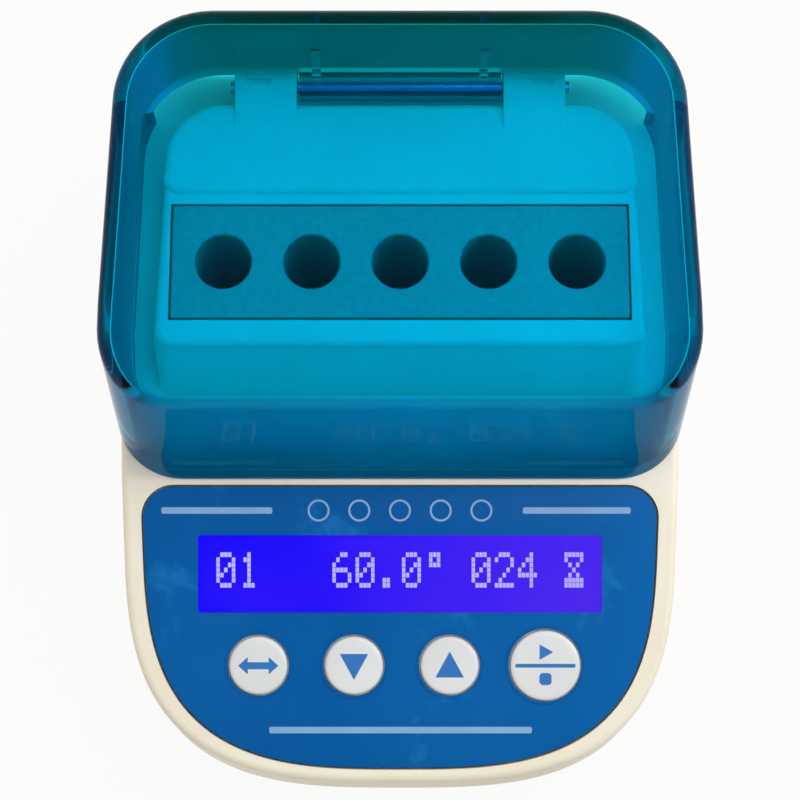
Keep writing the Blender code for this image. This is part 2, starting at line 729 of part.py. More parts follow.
def lower_case():
    bm = case_blank()
    slice_off(bm, Vector((0, 0, PARTING_HEIGHT - FIT / 2)), Vector((0, 0, 1)))
    case = new_object("lower_case", bm, "case_plastic")
    inner = CASE_WALL - TONGUE_THICKNESS
    bm = prism(case_outline(inner), CASE_FLOOR, PARTING_HEIGHT + TONGUE_HEIGHT)
    join(case, "tongue", bm)
    cut(case, "case_cavity_lower", case_cavity())
    bm = bmesh.new()
    for spot in board_spots():
        low = CASE_FLOOR - CASE_WALL / 2
        add_cylinder(bm, STANDOFF_RADIUS, low, CASE_FLOOR + STANDOFF_TALL, spot)
    for spot in CASE_POSTS:
        low = CASE_FLOOR - CASE_WALL / 2
        add_cylinder(bm, CASE_POST_RADIUS + FIT, low, CASE_FLOOR + STANDOFF_TALL, spot)
    join(case, "standoffs", bm)
    join(case, "seat_ribs", seat_ribs())
    cut(case, "lower_bores", lower_bores())
    cut(case, "vents", vents())


def seat_ribs():
    bm = bmesh.new()
    low = CASE_FLOOR - CASE_WALL / 2
    high = INSULATION_BOTTOM - FIT
    for share in SEAT_RIB_SHARES:
        size = (SEAT_RIB_THICKNESS, BLOCK_DEPTH + INSULATION_WALL, high - low)
        add_box(bm, size, (share * BLOCK_WIDTH / 2, BLOCK_Y, (low + high) / 2))
    return bm


def lower_bores():
    bm = bmesh.new()
    for x, y in board_spots():
        radius = SMALL_SCREW[0] + SCREW_CLEARANCE
        add_cylinder(bm, radius, CASE_FLOOR, CASE_FLOOR + 2 * STANDOFF_TALL, (x, y))
    for x, y in CASE_POSTS:
        bore = CASE_SCREW[0] + SCREW_CLEARANCE
        recess = CASE_SCREW[1] + FIT
        head = FOOT_STAND + CASE_SCREW[2] + FIT
        top = CASE_FLOOR + 2 * STANDOFF_TALL
        profile = [(0, 0), (recess, 0), (recess, head), (bore, head), (bore, top), (0, top)]
        add_turned(bm, profile, SMALL_STEPS, (x, y, 0))
    for spot in FEET:
        add_cylinder(bm, FOOT_RADIUS + FIT, 0, FOOT_STAND + FOOT_SINK, spot, ROUND_STEPS)
    return bm


def vents():
    bm = bmesh.new()
    for index in range(VENT_COUNT):
        spot = ((index - (VENT_COUNT - 1) / 2) * VENT_PITCH, CASE_REAR - VENT_FROM_REAR)
        outline = rounded_rectangle(VENT_SIZE, VENT_CORNER, spot)
        prism(outline, 0, 2 * CASE_FLOOR, bm)
    return bm


def case_screws():
    for index, (x, y) in enumerate(CASE_POSTS, 1):
        matrix = Matrix.Translation((x, y, FOOT_STAND + CASE_SCREW[2]))
        screw(f"case_screw_{index}", CASE_SCREW, matrix)


def screw(name, sizes, matrix):
    # The shank points up from under its head, which has a round driver recess.
    shank, head, head_tall, length = sizes
    profile = [
        (0, length),
        (shank * 0.6, length),
        (shank, length - shank),
        (shank, 0),
        (head, 0),
        (head, -head_tall * 0.6),
        (head * 0.7, -head_tall),
        (head * 0.35, -head_tall),
        (0, -head_tall * 0.4),
    ]
    return new_object(name, turned(profile, SMALL_STEPS), "steel", matrix, smooth=True)


def feet():
    for index, (x, y) in enumerate(FEET, 1):
        top = FOOT_STAND + FOOT_SINK - SHEET_FIT
        edge = FOOT_SINK
        profile = [(0, top), (FOOT_RADIUS, top), (FOOT_RADIUS, edge), (FOOT_RADIUS - edge, 0), (0, 0)]
        matrix = Matrix.Translation((x, y, 0))
        new_object(f"foot_{index}", turned(profile, ROUND_STEPS), "rubber", matrix, smooth=True)


# Lid and hinge

def lid():
    low = BREAK_HEIGHT - LID_WALL
    half = CASE_HALF + LID_OVERHANG
    front = BREAK_Y - LID_OVERHANG - LID_WALL * tan(LID_RAKE)
    outline = rounded_outline(
        half, half - LID_TAPER, front, LID_REAR, LID_FRONT_CORNER, LID_REAR_CORNER
    )
    bm = raked_prism(outline, low, LID_HEIGHT, LID_RAKE)
    round_edges(bm, LID_EDGE, 5, lambda edge: min(vert.co.z for vert in edge.verts) > low)
    floor = [face for face in bm.faces if face.normal.z < -0.9]
    bmesh.ops.delete(bm, geom=floor, context="FACES")
    bmesh.ops.translate(bm, vec=(0, -HINGE_Y, -HINGE_Z), verts=bm.verts)
    matrix = Matrix.Translation((0, HINGE_Y, HINGE_Z))
    cover = new_object("lid", bm, "lid_plastic", matrix, smooth=True)
    shell = cover.modifiers.new("wall", "SOLIDIFY")
    shell.thickness = LID_WALL
    shell.offset = -1
    shell.use_even_offset = True
    cut(cover, "rim_trim", rim_trim())
    high = (CASE_WIDTH, CASE_REAR + LID_WALL, HINGE_Z - RIM_BELOW_HINGE)
    low = (-CASE_WIDTH, HINGE_Y - RELIEF_BEFORE_HINGE, 0)
    cut(cover, "swing_relief", box_between(low, high))
    bm = bmesh.new()
    add_cylinder(bm, KNUCKLE_RADIUS, -KNUCKLE_HALF, KNUCKLE_HALF, (HINGE_Y, HINGE_Z), ROUND_STEPS)
    join(cover, "knuckle", bm, SIDEWAYS)
    low = (-KNUCKLE_HALF, HINGE_Y, HINGE_Z - WEB_THICKNESS / 2)
    high = (KNUCKLE_HALF, LID_REAR - LID_WALL / 2, HINGE_Z + WEB_THICKNESS / 2)
    join(cover, "knuckle_web", box_between(low, high))
    join(cover, "gussets", gussets(), SIDEWAYS)
    bm = bmesh.new()
    reach = KNUCKLE_HALF + FIT
    add_cylinder(bm, PIN_RADIUS + FIT, -reach, reach, (HINGE_Y, HINGE_Z))
    cut(cover, "knuckle_bore", bm, SIDEWAYS)


def rim_trim():
    # What would reach below the ledge or its clearance.
    bm = box_between((-CASE_WIDTH, CASE_FRONT, 0), (CASE_WIDTH, CASE_LENGTH, CASE_TOP))
    slice_off(bm, *ledge_plane(FIT))
    return bm


def gussets():
    wall = LID_REAR - LID_WALL / 2
    outline = [
        (HINGE_Y, HINGE_Z + PIN_RADIUS + 2 * FIT),
        (wall, HINGE_Z + PIN_RADIUS + 2 * FIT),
        (wall, HINGE_Z + GUSSET_HEIGHT),
        (LID_REAR - LID_WALL - FIT, HINGE_Z + GUSSET_HEIGHT),
    ]
    bm = bmesh.new()
    for side in (-1, 1):
        x = side * GUSSET_X - GUSSET_THICKNESS / 2
        prism(outline, x, x + GUSSET_THICKNESS, bm)
    return bm


def hinge_pin():
    half = PIN_LENGTH / 2
    end = PIN_RADIUS * 0.3
    profile = [
        (0, half),
        (PIN_RADIUS - end, half),
        (PIN_RADIUS, half - end),
        (PIN_RADIUS, end - half),
        (PIN_RADIUS - end, -half),
        (0, -half),
    ]
    matrix = Matrix.Translation((0, HINGE_Y, HINGE_Z)) @ Matrix.Rotation(pi / 2, 4, "Y")
    new_object("hinge_pin", turned(profile, SMALL_STEPS), "steel", matrix, smooth=True)


# Keypad

def key_holes(growth, low, high):
    bm = bmesh.new()
    for x, radius in KEYS.values():
        add_cylinder(bm, radius + growth, low, high, (x, KEY_ALONG), ROUND_STEPS)
    return bm


def window_outline(growth):
    size = [side + 2 * growth for side in WINDOW_SIZE]
    return rounded_rectangle(size, WINDOW_CORNER, (0, -WINDOW_FROM_BREAK))


def keypad_overlay():
    bm = prism(panel_outline(FIT), OVERLAY_BOTTOM, -OVERLAY_SINK)
    sheet = new_object("keypad_overlay", bm, "panel_film", CONSOLE)
    bm = prism(window_outline(SHEET_FIT), 2 * OVERLAY_BOTTOM, -OVERLAY_BOTTOM)
    cut(sheet, "window_hole", bm, CONSOLE)
    cut(sheet, "key_holes", key_holes(KEY_CLEARANCE, 2 * OVERLAY_BOTTOM, -OVERLAY_BOTTOM), CONSOLE)


def display_window():
    bm = prism(window_outline(0), OVERLAY_BOTTOM, -OVERLAY_SINK)
    new_object("display_window", bm, "clear_pane", CONSOLE)


def keypad_backing():
    low = BACKING_TOP - BACKING_THICKNESS
    bm = prism(panel_outline(FIT), low, BACKING_TOP)
    sheet = new_object("keypad_backing", bm, "foam", CONSOLE)
    cut(sheet, "backing_opening", lcd_opening(2 * low, 0, -LCD_BORDER / 2), CONSOLE)
    cut(sheet, "key_cavities", key_holes(KEY_FLANGE_WIDTH + FIT, KEY_CAVITY_FLOOR, 0), CONSOLE)


def keys():
    for name, (x, radius) in KEYS.items():
        shoulder = KEY_BOTTOM + KEY_FLANGE
        profile = [
            (0, KEY_PROUD),
            (radius * 0.55, KEY_PROUD * 0.92),
            (radius * 0.86, KEY_PROUD * 0.55),
            (radius * 0.97, 0),
            (radius, -KEY_PROUD / 2),
            (radius, shoulder),
            (radius + KEY_FLANGE_WIDTH, shoulder),
            (radius + KEY_FLANGE_WIDTH, KEY_BOTTOM),
            (0, KEY_BOTTOM),
        ]
        matrix = CONSOLE @ Matrix.Translation((x, KEY_ALONG, 0))
        new_object(name, turned(profile, ROUND_STEPS), "key_white", matrix, smooth=True)


def snap_domes():
    for index, (x, radius) in enumerate(KEYS.values(), 1):
        low = KEY_CAVITY_FLOOR + SHEET_FIT
        profile = [
            (0, DOME_TOP),
            (DOME_RADIUS * 0.5, DOME_TOP - DOME_RISE * 0.2),
            (DOME_RADIUS * 0.85, DOME_TOP - DOME_RISE * 0.6),
            (DOME_RADIUS, low),
            (0, low),
        ]
        matrix = CONSOLE @ Matrix.Translation((x, KEY_ALONG, 0))
        new_object(f"snap_dome_{index}", turned(profile, SMALL_STEPS), "steel", matrix, smooth=True)


# Display module

def display_module():
    centre = Vector((0, -WINDOW_FROM_BREAK, 0))
    low = BEZEL_TOP - BEZEL_TALL
    bm = box((*BEZEL_SIZE, BEZEL_TALL), centre + Vector((0, 0, low + BEZEL_TALL / 2)))
    round_edges(bm, BEZEL_SKIN, 1)
    bezel = new_object("lcd_bezel", bm, "black_plastic", CONSOLE)
    inner = [side - 4 * BEZEL_SKIN for side in BEZEL_SIZE]
    depth = BEZEL_TALL - BEZEL_SKIN
    bm = box((*inner, 2 * depth), centre + Vector((0, 0, low)))
    cut(bezel, "bezel_cavity", bm, CONSOLE)
    cut(bezel, "bezel_opening", lcd_opening(low, 0, LCD_BORDER / 2), CONSOLE)
    top = BEZEL_TOP - BEZEL_SKIN - SHEET_FIT
    size = [side - 2 * FIT for side in inner] + [top - low - SHEET_FIT]
    bm = box(size, centre + Vector((0, 0, top - size[2] / 2)))
    new_object("lcd_glass", bm, "display_blue", CONSOLE)
    size = (*LCD_BOARD_SIZE, BOARD_THICKNESS)
    bm = box(size, centre + Vector((0, 0, LCD_BOARD_TOP - BOARD_THICKNESS / 2)))
    board = new_object("lcd_board", bm, "board_green", CONSOLE)
    holes = bmesh.new()
    for index, spot in enumerate(lcd_spots(), 1):
        low = LCD_BOARD_TOP - 2 * BOARD_THICKNESS
        add_cylinder(holes, SMALL_SCREW[0] + SCREW_CLEARANCE, low, 0, spot)
        under = LCD_BOARD_TOP - BOARD_THICKNESS - SHEET_FIT
        screw(f"lcd_screw_{index}", SMALL_SCREW, CONSOLE @ Matrix.Translation((*spot, under)))
    cut(board, "lcd_board_holes", holes, CONSOLE)


# Heating block, heater and insulation

def heating_block():
    size = (BLOCK_WIDTH, BLOCK_DEPTH, BLOCK_TALL)
    bm = box(size, (0, BLOCK_Y, BLOCK_TOP - BLOCK_TALL / 2))
    round_edges(bm, BLOCK_EDGE, 1)
    block = new_object("heating_block", bm, "aluminium")
    tools = bmesh.new()
    for x in WELL_XS:
        add_well(tools, x)
    cut(block, "wells", tools)
    bm = bmesh.new()
    top = BLOCK_BOTTOM + PROBE_REACH
    add_cylinder(bm, PROBE_RADIUS + FIT, BLOCK_BOTTOM - FIT, top + FIT, (PROBE_X, BLOCK_Y))
    cut(block, "probe_bore", bm)


def add_well(tools, x):
    # Straight bore with a chamfered mouth and a drill point, larger than the mouth above the face.
    tip = WELL_RADIUS * DRILL_TIP
    profile = [
        (0, BLOCK_TOP + WELL_CHAMFER),
        (WELL_RADIUS + 2 * WELL_CHAMFER, BLOCK_TOP + WELL_CHAMFER),
        (WELL_RADIUS, BLOCK_TOP - WELL_CHAMFER),
        (WELL_RADIUS, BLOCK_TOP - WELL_DEPTH),
        (0, BLOCK_TOP - WELL_DEPTH - tip),
    ]
    add_turned(tools, profile, ROUND_STEPS, (x, BLOCK_Y, 0))


def heater_pad():
    size = (BLOCK_WIDTH - 2 * PAD_MARGIN, BLOCK_DEPTH - 2 * PAD_MARGIN, PAD_THICKNESS)
    bm = box(size, (0, BLOCK_Y, PAD_TOP - PAD_THICKNESS / 2))
    pad = new_object("heater_pad", bm, "silicone")
    bm = bmesh.new()
    add_cylinder(bm, PROBE_RADIUS + FIT, 0, BLOCK_BOTTOM, (PROBE_X, BLOCK_Y))
    cut(pad, "pad_hole", bm)


def block_insulation():
    grow = FIT + INSULATION_WALL
    size = (BLOCK_WIDTH + 2 * grow, BLOCK_DEPTH + 2 * grow)
    outline = rounded_rectangle(size, INSULATION_CORNER, (0, BLOCK_Y))
    top = INSULATION_BOTTOM + INSULATION_TALL
    bm = prism(outline, INSULATION_BOTTOM, top)
    jacket = new_object("block_insulation", bm, "foam")
    half = (BLOCK_WIDTH / 2 + FIT, BLOCK_DEPTH / 2 + FIT)
    low = (-half[0], BLOCK_Y - half[1], INSULATION_SEAT)
    cut(jacket, "block_seat", box_between(low, (half[0], BLOCK_Y + half[1], 2 * top)))
    size = [side + 2 * FIT for side in CUTOUT_SIZE]
    bm = box(size, (0, BLOCK_Y, INSULATION_SEAT - CUTOUT_SIZE[2] / 2))
    add_cylinder(bm, PROBE_RADIUS + FIT, 0, 2 * INSULATION_SEAT, (PROBE_X, BLOCK_Y))
    depth = 2 * (INSULATION_WALL + FIT)
    height = PAD_TOP - INSULATION_SEAT
    centre = (-PROBE_X, BLOCK_Y - BLOCK_DEPTH / 2 - depth / 2, INSULATION_SEAT + height / 2)
    add_box(bm, (LEAD_NOTCH, depth, height + FIT), centre)
    cut(jacket, "insulation_pockets", bm)


def thermal_cutout():
    centre = (0, BLOCK_Y, INSULATION_SEAT - CUTOUT_SIZE[2] / 2)
    bm = box(CUTOUT_SIZE, centre)
    round_edges(bm, CUTOUT_EDGE, 2)
    new_object("thermal_cutout", bm, "black_plastic")


def temperature_probe():
    top = BLOCK_BOTTOM + PROBE_REACH
    low = BLOCK_BOTTOM - PROBE_TAIL
    profile = [(0, top), (PROBE_RADIUS / 2, top), (PROBE_RADIUS, top - PROBE_RADIUS / 2)]
    profile += [(PROBE_RADIUS, low), (0, low)]
    matrix = Matrix.Translation((PROBE_X, BLOCK_Y, 0))
    new_object("temperature_probe", turned(profile, SMALL_STEPS), "steel", matrix, smooth=True)


# Controller

def main_board():
    size = (*MAIN_BOARD_SIZE, BOARD_THICKNESS)
    bm = box(size, (0, MAIN_BOARD_Y, MAIN_BOARD_BOTTOM + BOARD_THICKNESS / 2))
    board = new_object("main_board", bm, "board_green")
    holes = bmesh.new()
    for index, spot in enumerate(board_spots(), 1):
        add_cylinder(holes, SMALL_SCREW[0] + SCREW_CLEARANCE, 0, 2 * MAIN_BOARD_TOP, spot)
        flip = Matrix.Translation((*spot, MAIN_BOARD_TOP + SHEET_FIT)) @ Matrix.Rotation(pi, 4, "X")
        screw(f"board_screw_{index}", SMALL_SCREW, flip)
    cut(board, "main_board_holes", holes)


def on_board(x, along):
    return Matrix.Translation((x, MAIN_BOARD_Y + along, MAIN_BOARD_TOP + SHEET_FIT))


def board_block(name, size, spot, material="black_plastic"):
    bm = box(size, (0, 0, size[2] / 2))
    round_edges(bm, PART_EDGE, 1)
    new_object(name, bm, material, on_board(*spot))


def board_parts():
    board_block("processor", PROCESSOR_SIZE, PROCESSOR_SPOT)
    board_block("display_header", DISPLAY_HEADER_SIZE, (0, DISPLAY_HEADER_Y))
    board_block("wire_header", WIRE_HEADER_SIZE, (0, WIRE_HEADER_Y), "key_white")
    x, along = HEAT_SINK_SPOT
    new_object("heat_sink", heat_sink(), "aluminium", on_board(x, along))
    along -= TRANSISTOR_SIZE[1] / 2 + SHEET_FIT
    board_block("heater_transistor", TRANSISTOR_SIZE, (x, along))
    hole, depth = BUZZER_HOLE
    profile = [
        (0, BUZZER_TALL - depth),
        (hole, BUZZER_TALL - depth),
        (hole, BUZZER_TALL),
        (BUZZER_RADIUS - PART_EDGE, BUZZER_TALL),
        (BUZZER_RADIUS, BUZZER_TALL - PART_EDGE),
        (BUZZER_RADIUS, 0),
        (0, 0),
    ]
    matrix = on_board(*BUZZER_SPOT)
    new_object("buzzer", turned(profile, ROUND_STEPS), "black_plastic", matrix, smooth=True)
    profile = [
        (0, CAPACITOR_TALL),
        (CAPACITOR_RADIUS - PART_EDGE, CAPACITOR_TALL),
        (CAPACITOR_RADIUS, CAPACITOR_TALL - PART_EDGE),
        (CAPACITOR_RADIUS, 0),
        (0, 0),
    ]
    matrix = on_board(*CAPACITOR_SPOT)
    new_object("supply_capacitor", turned(profile, ROUND_STEPS), "aluminium", matrix, smooth=True)


def heat_sink():
    # One comb outline: a back plate with fins toward the rear.
    width, depth, tall = HEAT_SINK_SIZE
    pitch = (width - FIN_THICKNESS) / (FIN_COUNT - 1)
    outline = [(-width / 2, 0), (width / 2, 0)]
    for index in reversed(range(FIN_COUNT)):
        x = index * pitch - width / 2
        outline += [(x + FIN_THICKNESS, depth), (x, depth)]
        if index:
            outline += [(x, HEAT_SINK_PLATE), (x - pitch + FIN_THICKNESS, HEAT_SINK_PLATE)]
    return prism(outline, 0, tall)


# Rear fittings

def power_socket():
    radius, thickness = SOCKET_FLANGE
    bore, depth = PLUG_BORE
    face = SHEET_FIT + thickness
    profile = [
        (0, face - CONTACT_SINK),
        (CONTACT_RADIUS - FITTING_EDGE, face - CONTACT_SINK),
        (CONTACT_RADIUS, face - CONTACT_SINK - FITTING_EDGE),
        (CONTACT_RADIUS, face - depth),
        (bore, face - depth),
        (bore, face),
        (radius - FITTING_EDGE, face),
        (radius, face - FITTING_EDGE),
        (radius, SHEET_FIT),
        (SOCKET_RADIUS, SHEET_FIT),
        (SOCKET_RADIUS, -SOCKET_LENGTH),
        (0, -SOCKET_LENGTH),
    ]
    matrix = REAR @ Matrix.Translation((-SOCKET_X, 0, 0))
    new_object("power_socket", turned(profile, ROUND_STEPS), "black_plastic", matrix, smooth=True)
    bm = bmesh.new()
    low = -CASE_WALL - SHEET_FIT - NUT_THICKNESS
    add_cylinder(bm, NUT_RADIUS, low, low + NUT_THICKNESS, (0, 0), 6)
    nut = new_object("socket_nut", bm, "steel", matrix)
    bm = bmesh.new()
    add_cylinder(bm, SOCKET_RADIUS + FIT, 2 * low, 0, (0, 0), ROUND_STEPS)
    cut(nut, "nut_bore", bm, matrix)


def power_switch():
    matrix = REAR @ Matrix.Translation((-SWITCH_X, 0, 0))
    face = SHEET_FIT + SWITCH_BEZEL[2]
    bm = box(SWITCH_BEZEL, (0, 0, face - SWITCH_BEZEL[2] / 2))
    round_edges(bm, FITTING_EDGE, 2)
    housing = new_object("switch_housing", bm, "black_plastic", matrix)
    tall = SWITCH_BODY[2]
    bm = box(SWITCH_BODY, (0, 0, face - SWITCH_BEZEL[2] / 2 - tall / 2))
    join(housing, "switch_body", bm, matrix)
    depth = SWITCH_WELL[2] + SHEET_FIT
    low = -depth
    bm = box((*SWITCH_WELL[:2], 2 * face - low), (0, 0, (2 * face + low) / 2))
    cut(housing, "switch_well", bm, matrix)
    bm = bmesh.new()
    add_cylinder(bm, TRUNNION_RADIUS + FIT, -SWITCH_BODY[1], SWITCH_BODY[1], (0, 0))
    across = Matrix.Translation((0, 0, -ROCKER_PIVOT)) @ Matrix.Rotation(pi / 2, 4, "X")
    cut(housing, "trunnion_holes", bm, matrix @ across)
    foot, drop = ROCKER_ROOT
    outline = [
        (0, ROCKER_DIP),
        (-ROCKER_HALF, ROCKER_RISE),
        (-ROCKER_HALF, 0),
        (-foot, -drop),
        (foot, -drop),
        (ROCKER_HALF, 0),
        (ROCKER_HALF, ROCKER_RISE),
    ]
    half = SWITCH_WELL[1] / 2 - FIT
    bm = prism(outline, -half, half)
    round_edges(bm, FIT, 2)
    tilted = matrix @ across @ Matrix.Rotation(ROCKER_TILT, 4, "Z")
    rocker = new_object("switch_rocker", bm, "black_plastic", tilted)
    bm = bmesh.new()
    reach = SWITCH_BODY[1] / 2
    add_cylinder(bm, TRUNNION_RADIUS, -reach, reach, (0, 0))
    join(rocker, "trunnions", bm, matrix @ across)


# Inner wiring

def lead(name, points, radius, material):
    # A smooth curve through the route's points, as a row of short straight pieces.
    count = len(points)
    route = [Vector(point) for point in points]
    smooth = []
    for index in range(count - 1):
        before = route[max(index - 1, 0)]
        start, end = route[index], route[index + 1]
        after = route[min(index + 2, count - 1)]
        for step in range(4):
            t = step / 4
            pull = (end - before) * t + (2 * before - 5 * start + 4 * end - after) * t * t
            smooth.append(start + (pull + (3 * start - before - 3 * end + after) * t ** 3) / 2)
    smooth.append(route[-1])
    data = bpy.data.curves.new(name, "CURVE")
    data.dimensions = "3D"
    data.bevel_depth = radius
    data.bevel_resolution = 2
    data.use_fill_caps = True
    spline = data.splines.new("POLY")
    spline.points.add(len(smooth) - 1)
    for point, place in zip(spline.points, smooth):
        point.co = (*place, 1)
    data.materials.append(finish(material))
    PARTS.objects.link(bpy.data.objects.new(name, data))


def inner_wiring():
    behind = MAIN_BOARD_Y + WIRE_HEADER_Y + WIRE_HEADER_SIZE[1] / 2 + FIT
    height = MAIN_BOARD_TOP + WIRE_HEADER_SIZE[2] / 2
    jacket = BLOCK_Y - BLOCK_DEPTH / 2 - INSULATION_WALL
    notch = (PAD_TOP + INSULATION_SEAT) / 2
    bend = LEAD_BEND
    x = -PROBE_X
    route = [
        (x, jacket + INSULATION_WALL - FIT, notch),
        (x, jacket - bend, notch),
        (x, (jacket + behind) / 2, (notch + height) / 2),
        (x, behind + bend, height),
        (x, behind, height),
    ]
    lead("heater_lead", route, LEAD_RADIUS, "wire_red")
    under = (CASE_FLOOR + INSULATION_BOTTOM) / 2
    x = PROBE_X
    route = [
        (x, BLOCK_Y, BLOCK_BOTTOM - PROBE_TAIL - FIT),
        (x, BLOCK_Y, INSULATION_BOTTOM),
        (x, BLOCK_Y - 3 * bend, under),
        (x, BLOCK_Y - 10 * bend, under),
        (x, jacket, under),
        (x, behind + 2 * bend, height - bend / 2),
        (x, behind, height),
    ]
    lead("probe_lead", route, LEAD_RADIUS, "black_plastic")
    x = SOCKET_X
    inner = BAY_FLOOR_Y - SOCKET_LENGTH - FIT
    rear = BLOCK_Y + BLOCK_DEPTH / 2 + INSULATION_WALL
    route = [
        (x, inner, BAY_Z),
        (x, inner - 2 * bend, BAY_Z - bend),
        (x, inner - 4 * bend, BAY_Z - 7 * bend),
        (x, rear + 5 * bend, under + 4 * bend),
        (x, rear + 1.5 * bend, under + 0.4 * bend),
        (x, rear - 4 * bend, under),
        (x, BLOCK_Y, under),
        (x, jacket + 2 * bend, under),
        (x, jacket - 3 * bend, under + bend),
        (x, behind + 2 * bend, height - bend / 2),
        (x, behind, height),
    ]
    lead("supply_lead", route, SUPPLY_RADIUS, "wire_red")


clear_scene()
PARTS = new_collection("biological_indicator_incubator")
TOOLS = new_collection("cutters")
TOOLS.hide_render = True
lower_case()
upper_case()
case_screws()
feet()
lid()
hinge_pin()
keypad_backing()
snap_domes()
keypad_overlay()
display_window()
keys()
display_module()
heating_block()
heater_pad()
block_insulation()
thermal_cutout()
temperature_probe()
main_board()
board_parts()
power_socket()
power_switch()
inner_wiring()
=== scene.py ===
import json
from math import cos, pi, radians, sin, tan

import bmesh
import bpy
from mathutils import Matrix, Vector


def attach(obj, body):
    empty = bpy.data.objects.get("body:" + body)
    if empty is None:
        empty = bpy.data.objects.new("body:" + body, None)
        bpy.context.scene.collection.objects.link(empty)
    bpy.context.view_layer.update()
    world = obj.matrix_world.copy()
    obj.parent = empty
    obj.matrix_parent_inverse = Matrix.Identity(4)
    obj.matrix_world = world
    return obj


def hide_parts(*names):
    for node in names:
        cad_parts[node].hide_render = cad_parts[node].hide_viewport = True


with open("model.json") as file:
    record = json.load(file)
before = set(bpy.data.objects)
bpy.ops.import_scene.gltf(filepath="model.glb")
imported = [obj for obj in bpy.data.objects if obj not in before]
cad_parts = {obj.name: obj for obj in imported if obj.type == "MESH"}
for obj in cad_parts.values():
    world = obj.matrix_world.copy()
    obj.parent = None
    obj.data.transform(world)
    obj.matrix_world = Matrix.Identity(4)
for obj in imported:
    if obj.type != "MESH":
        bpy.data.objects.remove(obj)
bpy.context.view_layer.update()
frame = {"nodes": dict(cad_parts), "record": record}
print("frame loaded")

# Shapes are drawn in millimetres and shrunk to metres when they become objects.
mm = 0.001

body = {
    "halfWidth": 45.5, "rear": 58.4, "noseY": -20.5, "noseDepth": 37.9, "nosePower": 3.1,
    "taper": 0.035, "taperY": -2.5, "rearCorner": 11.0, "wall": 2.2, "edge": 1.2,
    "tongueGap": 0.8, "tongueRise": 1.4, "bottom": 2.0, "draft": 1.05, "seam": 14.0, "seamGap": 0.3,
    "breakY": -10.5, "breakZ": 37.5, "consoleSlope": radians(15), "ledgeSlope": radians(2.45),
}
detail = {"nose": 88, "corner": 14, "fine": 96, "round": 72, "ring": 48, "small": 32, "tiny": 24,
          "edge": 5}

onConsole = (
    Matrix.Translation(Vector((0, body["breakY"], body["breakZ"])) * mm)
    @ Matrix.Rotation(body["consoleSlope"], 4, "X")
)


# Drawing tools

cut = "DIFFERENCE"
join = "UNION"


def faceOut(bm):
    bmesh.ops.recalc_face_normals(bm, faces=bm.faces)


def arcPoints(centre, radius, start, sweep=pi / 2, steps=None):
    steps = steps or detail["corner"]
    angles = [start + sweep * step / steps for step in range(steps + 1)]
    return [(centre[0] + radius * cos(a), centre[1] + radius * sin(a)) for a in angles]


def nosePoints(halfWidth, depth, noseY, taperY):
    # A superellipse in front of the nose line, whose sides draw in from the taper line.
    points = []
    steps = detail["nose"]
    for step in range(steps + 1):
        angle = pi * step / steps
        across = abs(cos(angle)) ** (2 / body["nosePower"])
        along = abs(sin(angle)) ** (2 / body["nosePower"])
        side = -1 if 2 * step < steps else 1
        y = noseY - depth * along
        points.append((side * (halfWidth - body["taper"] * (taperY - y)) * across, y))
    return points


def rearCorners(halfWidth, rearY, corner):
    points = arcPoints((halfWidth - corner, rearY - corner), corner, 0)
    return points + arcPoints((corner - halfWidth, rearY - corner), corner, pi / 2)


def roundedOutline(frontHalf, rearHalf, frontY, rearY, frontCorner, rearCorner):
    points = arcPoints((frontCorner - frontHalf, frontY + frontCorner), frontCorner, pi)
    points += arcPoints((frontHalf - frontCorner, frontY + frontCorner), frontCorner, 1.5 * pi)
    return points + rearCorners(rearHalf, rearY, rearCorner)


def roundedRectangle(width, length, corner, centre=(0, 0)):
    points = roundedOutline(width / 2, width / 2, -length / 2, length / 2, corner, corner)
    return [(x + centre[0], y + centre[1]) for x, y in points]


def prism(points, low, high, bm=None):
    bm = bm or bmesh.new()
    base = bm.faces.new([bm.verts.new((x, y, low)) for x, y in points])
    raised = bmesh.ops.extrude_face_region(bm, geom=[base])
    top = [item for item in raised["geom"] if isinstance(item, bmesh.types.BMVert)]
    bmesh.ops.translate(bm, vec=(0, 0, high - low), verts=top)
    faceOut(bm)
    return bm


def split(bm, point, normal, clear=False):
    everything = bm.verts[:] + bm.edges[:] + bm.faces[:]
    return bmesh.ops.bisect_plane(
        bm, geom=everything, plane_co=point, plane_no=normal, clear_outer=clear
    )


def sliceOff(bm, point, normal):
    found = split(bm, point, normal, True)
    edges = [item for item in found["geom_cut"] if isinstance(item, bmesh.types.BMEdge)]
    bmesh.ops.edgeloop_fill(bm, edges=edges)
    faceOut(bm)


def roundEdges(bm, radius, segments, where=None, sharper=40):
    edges = [edge for edge in bm.edges if edge.calc_face_angle(0) > radians(sharper)]
    if where is not None:
        edges = [edge for edge in edges if where(edge)]
    bmesh.ops.bevel(
        bm, geom=edges, offset=radius, segments=segments, profile=0.5, affect="EDGES"
    )
    return bm


def addBox(size, centre, bm=None):
    bm = bm or bmesh.new()
    made = bmesh.ops.create_cube(bm, size=1)
    bmesh.ops.scale(bm, vec=size, verts=made["verts"])
    bmesh.ops.translate(bm, vec=centre, verts=made["verts"])
    return bm


def boxBetween(low, high):
    size = [top - bottom for bottom, top in zip(low, high)]
    centre = [(top + bottom) / 2 for bottom, top in zip(low, high)]
    return addBox(size, centre)


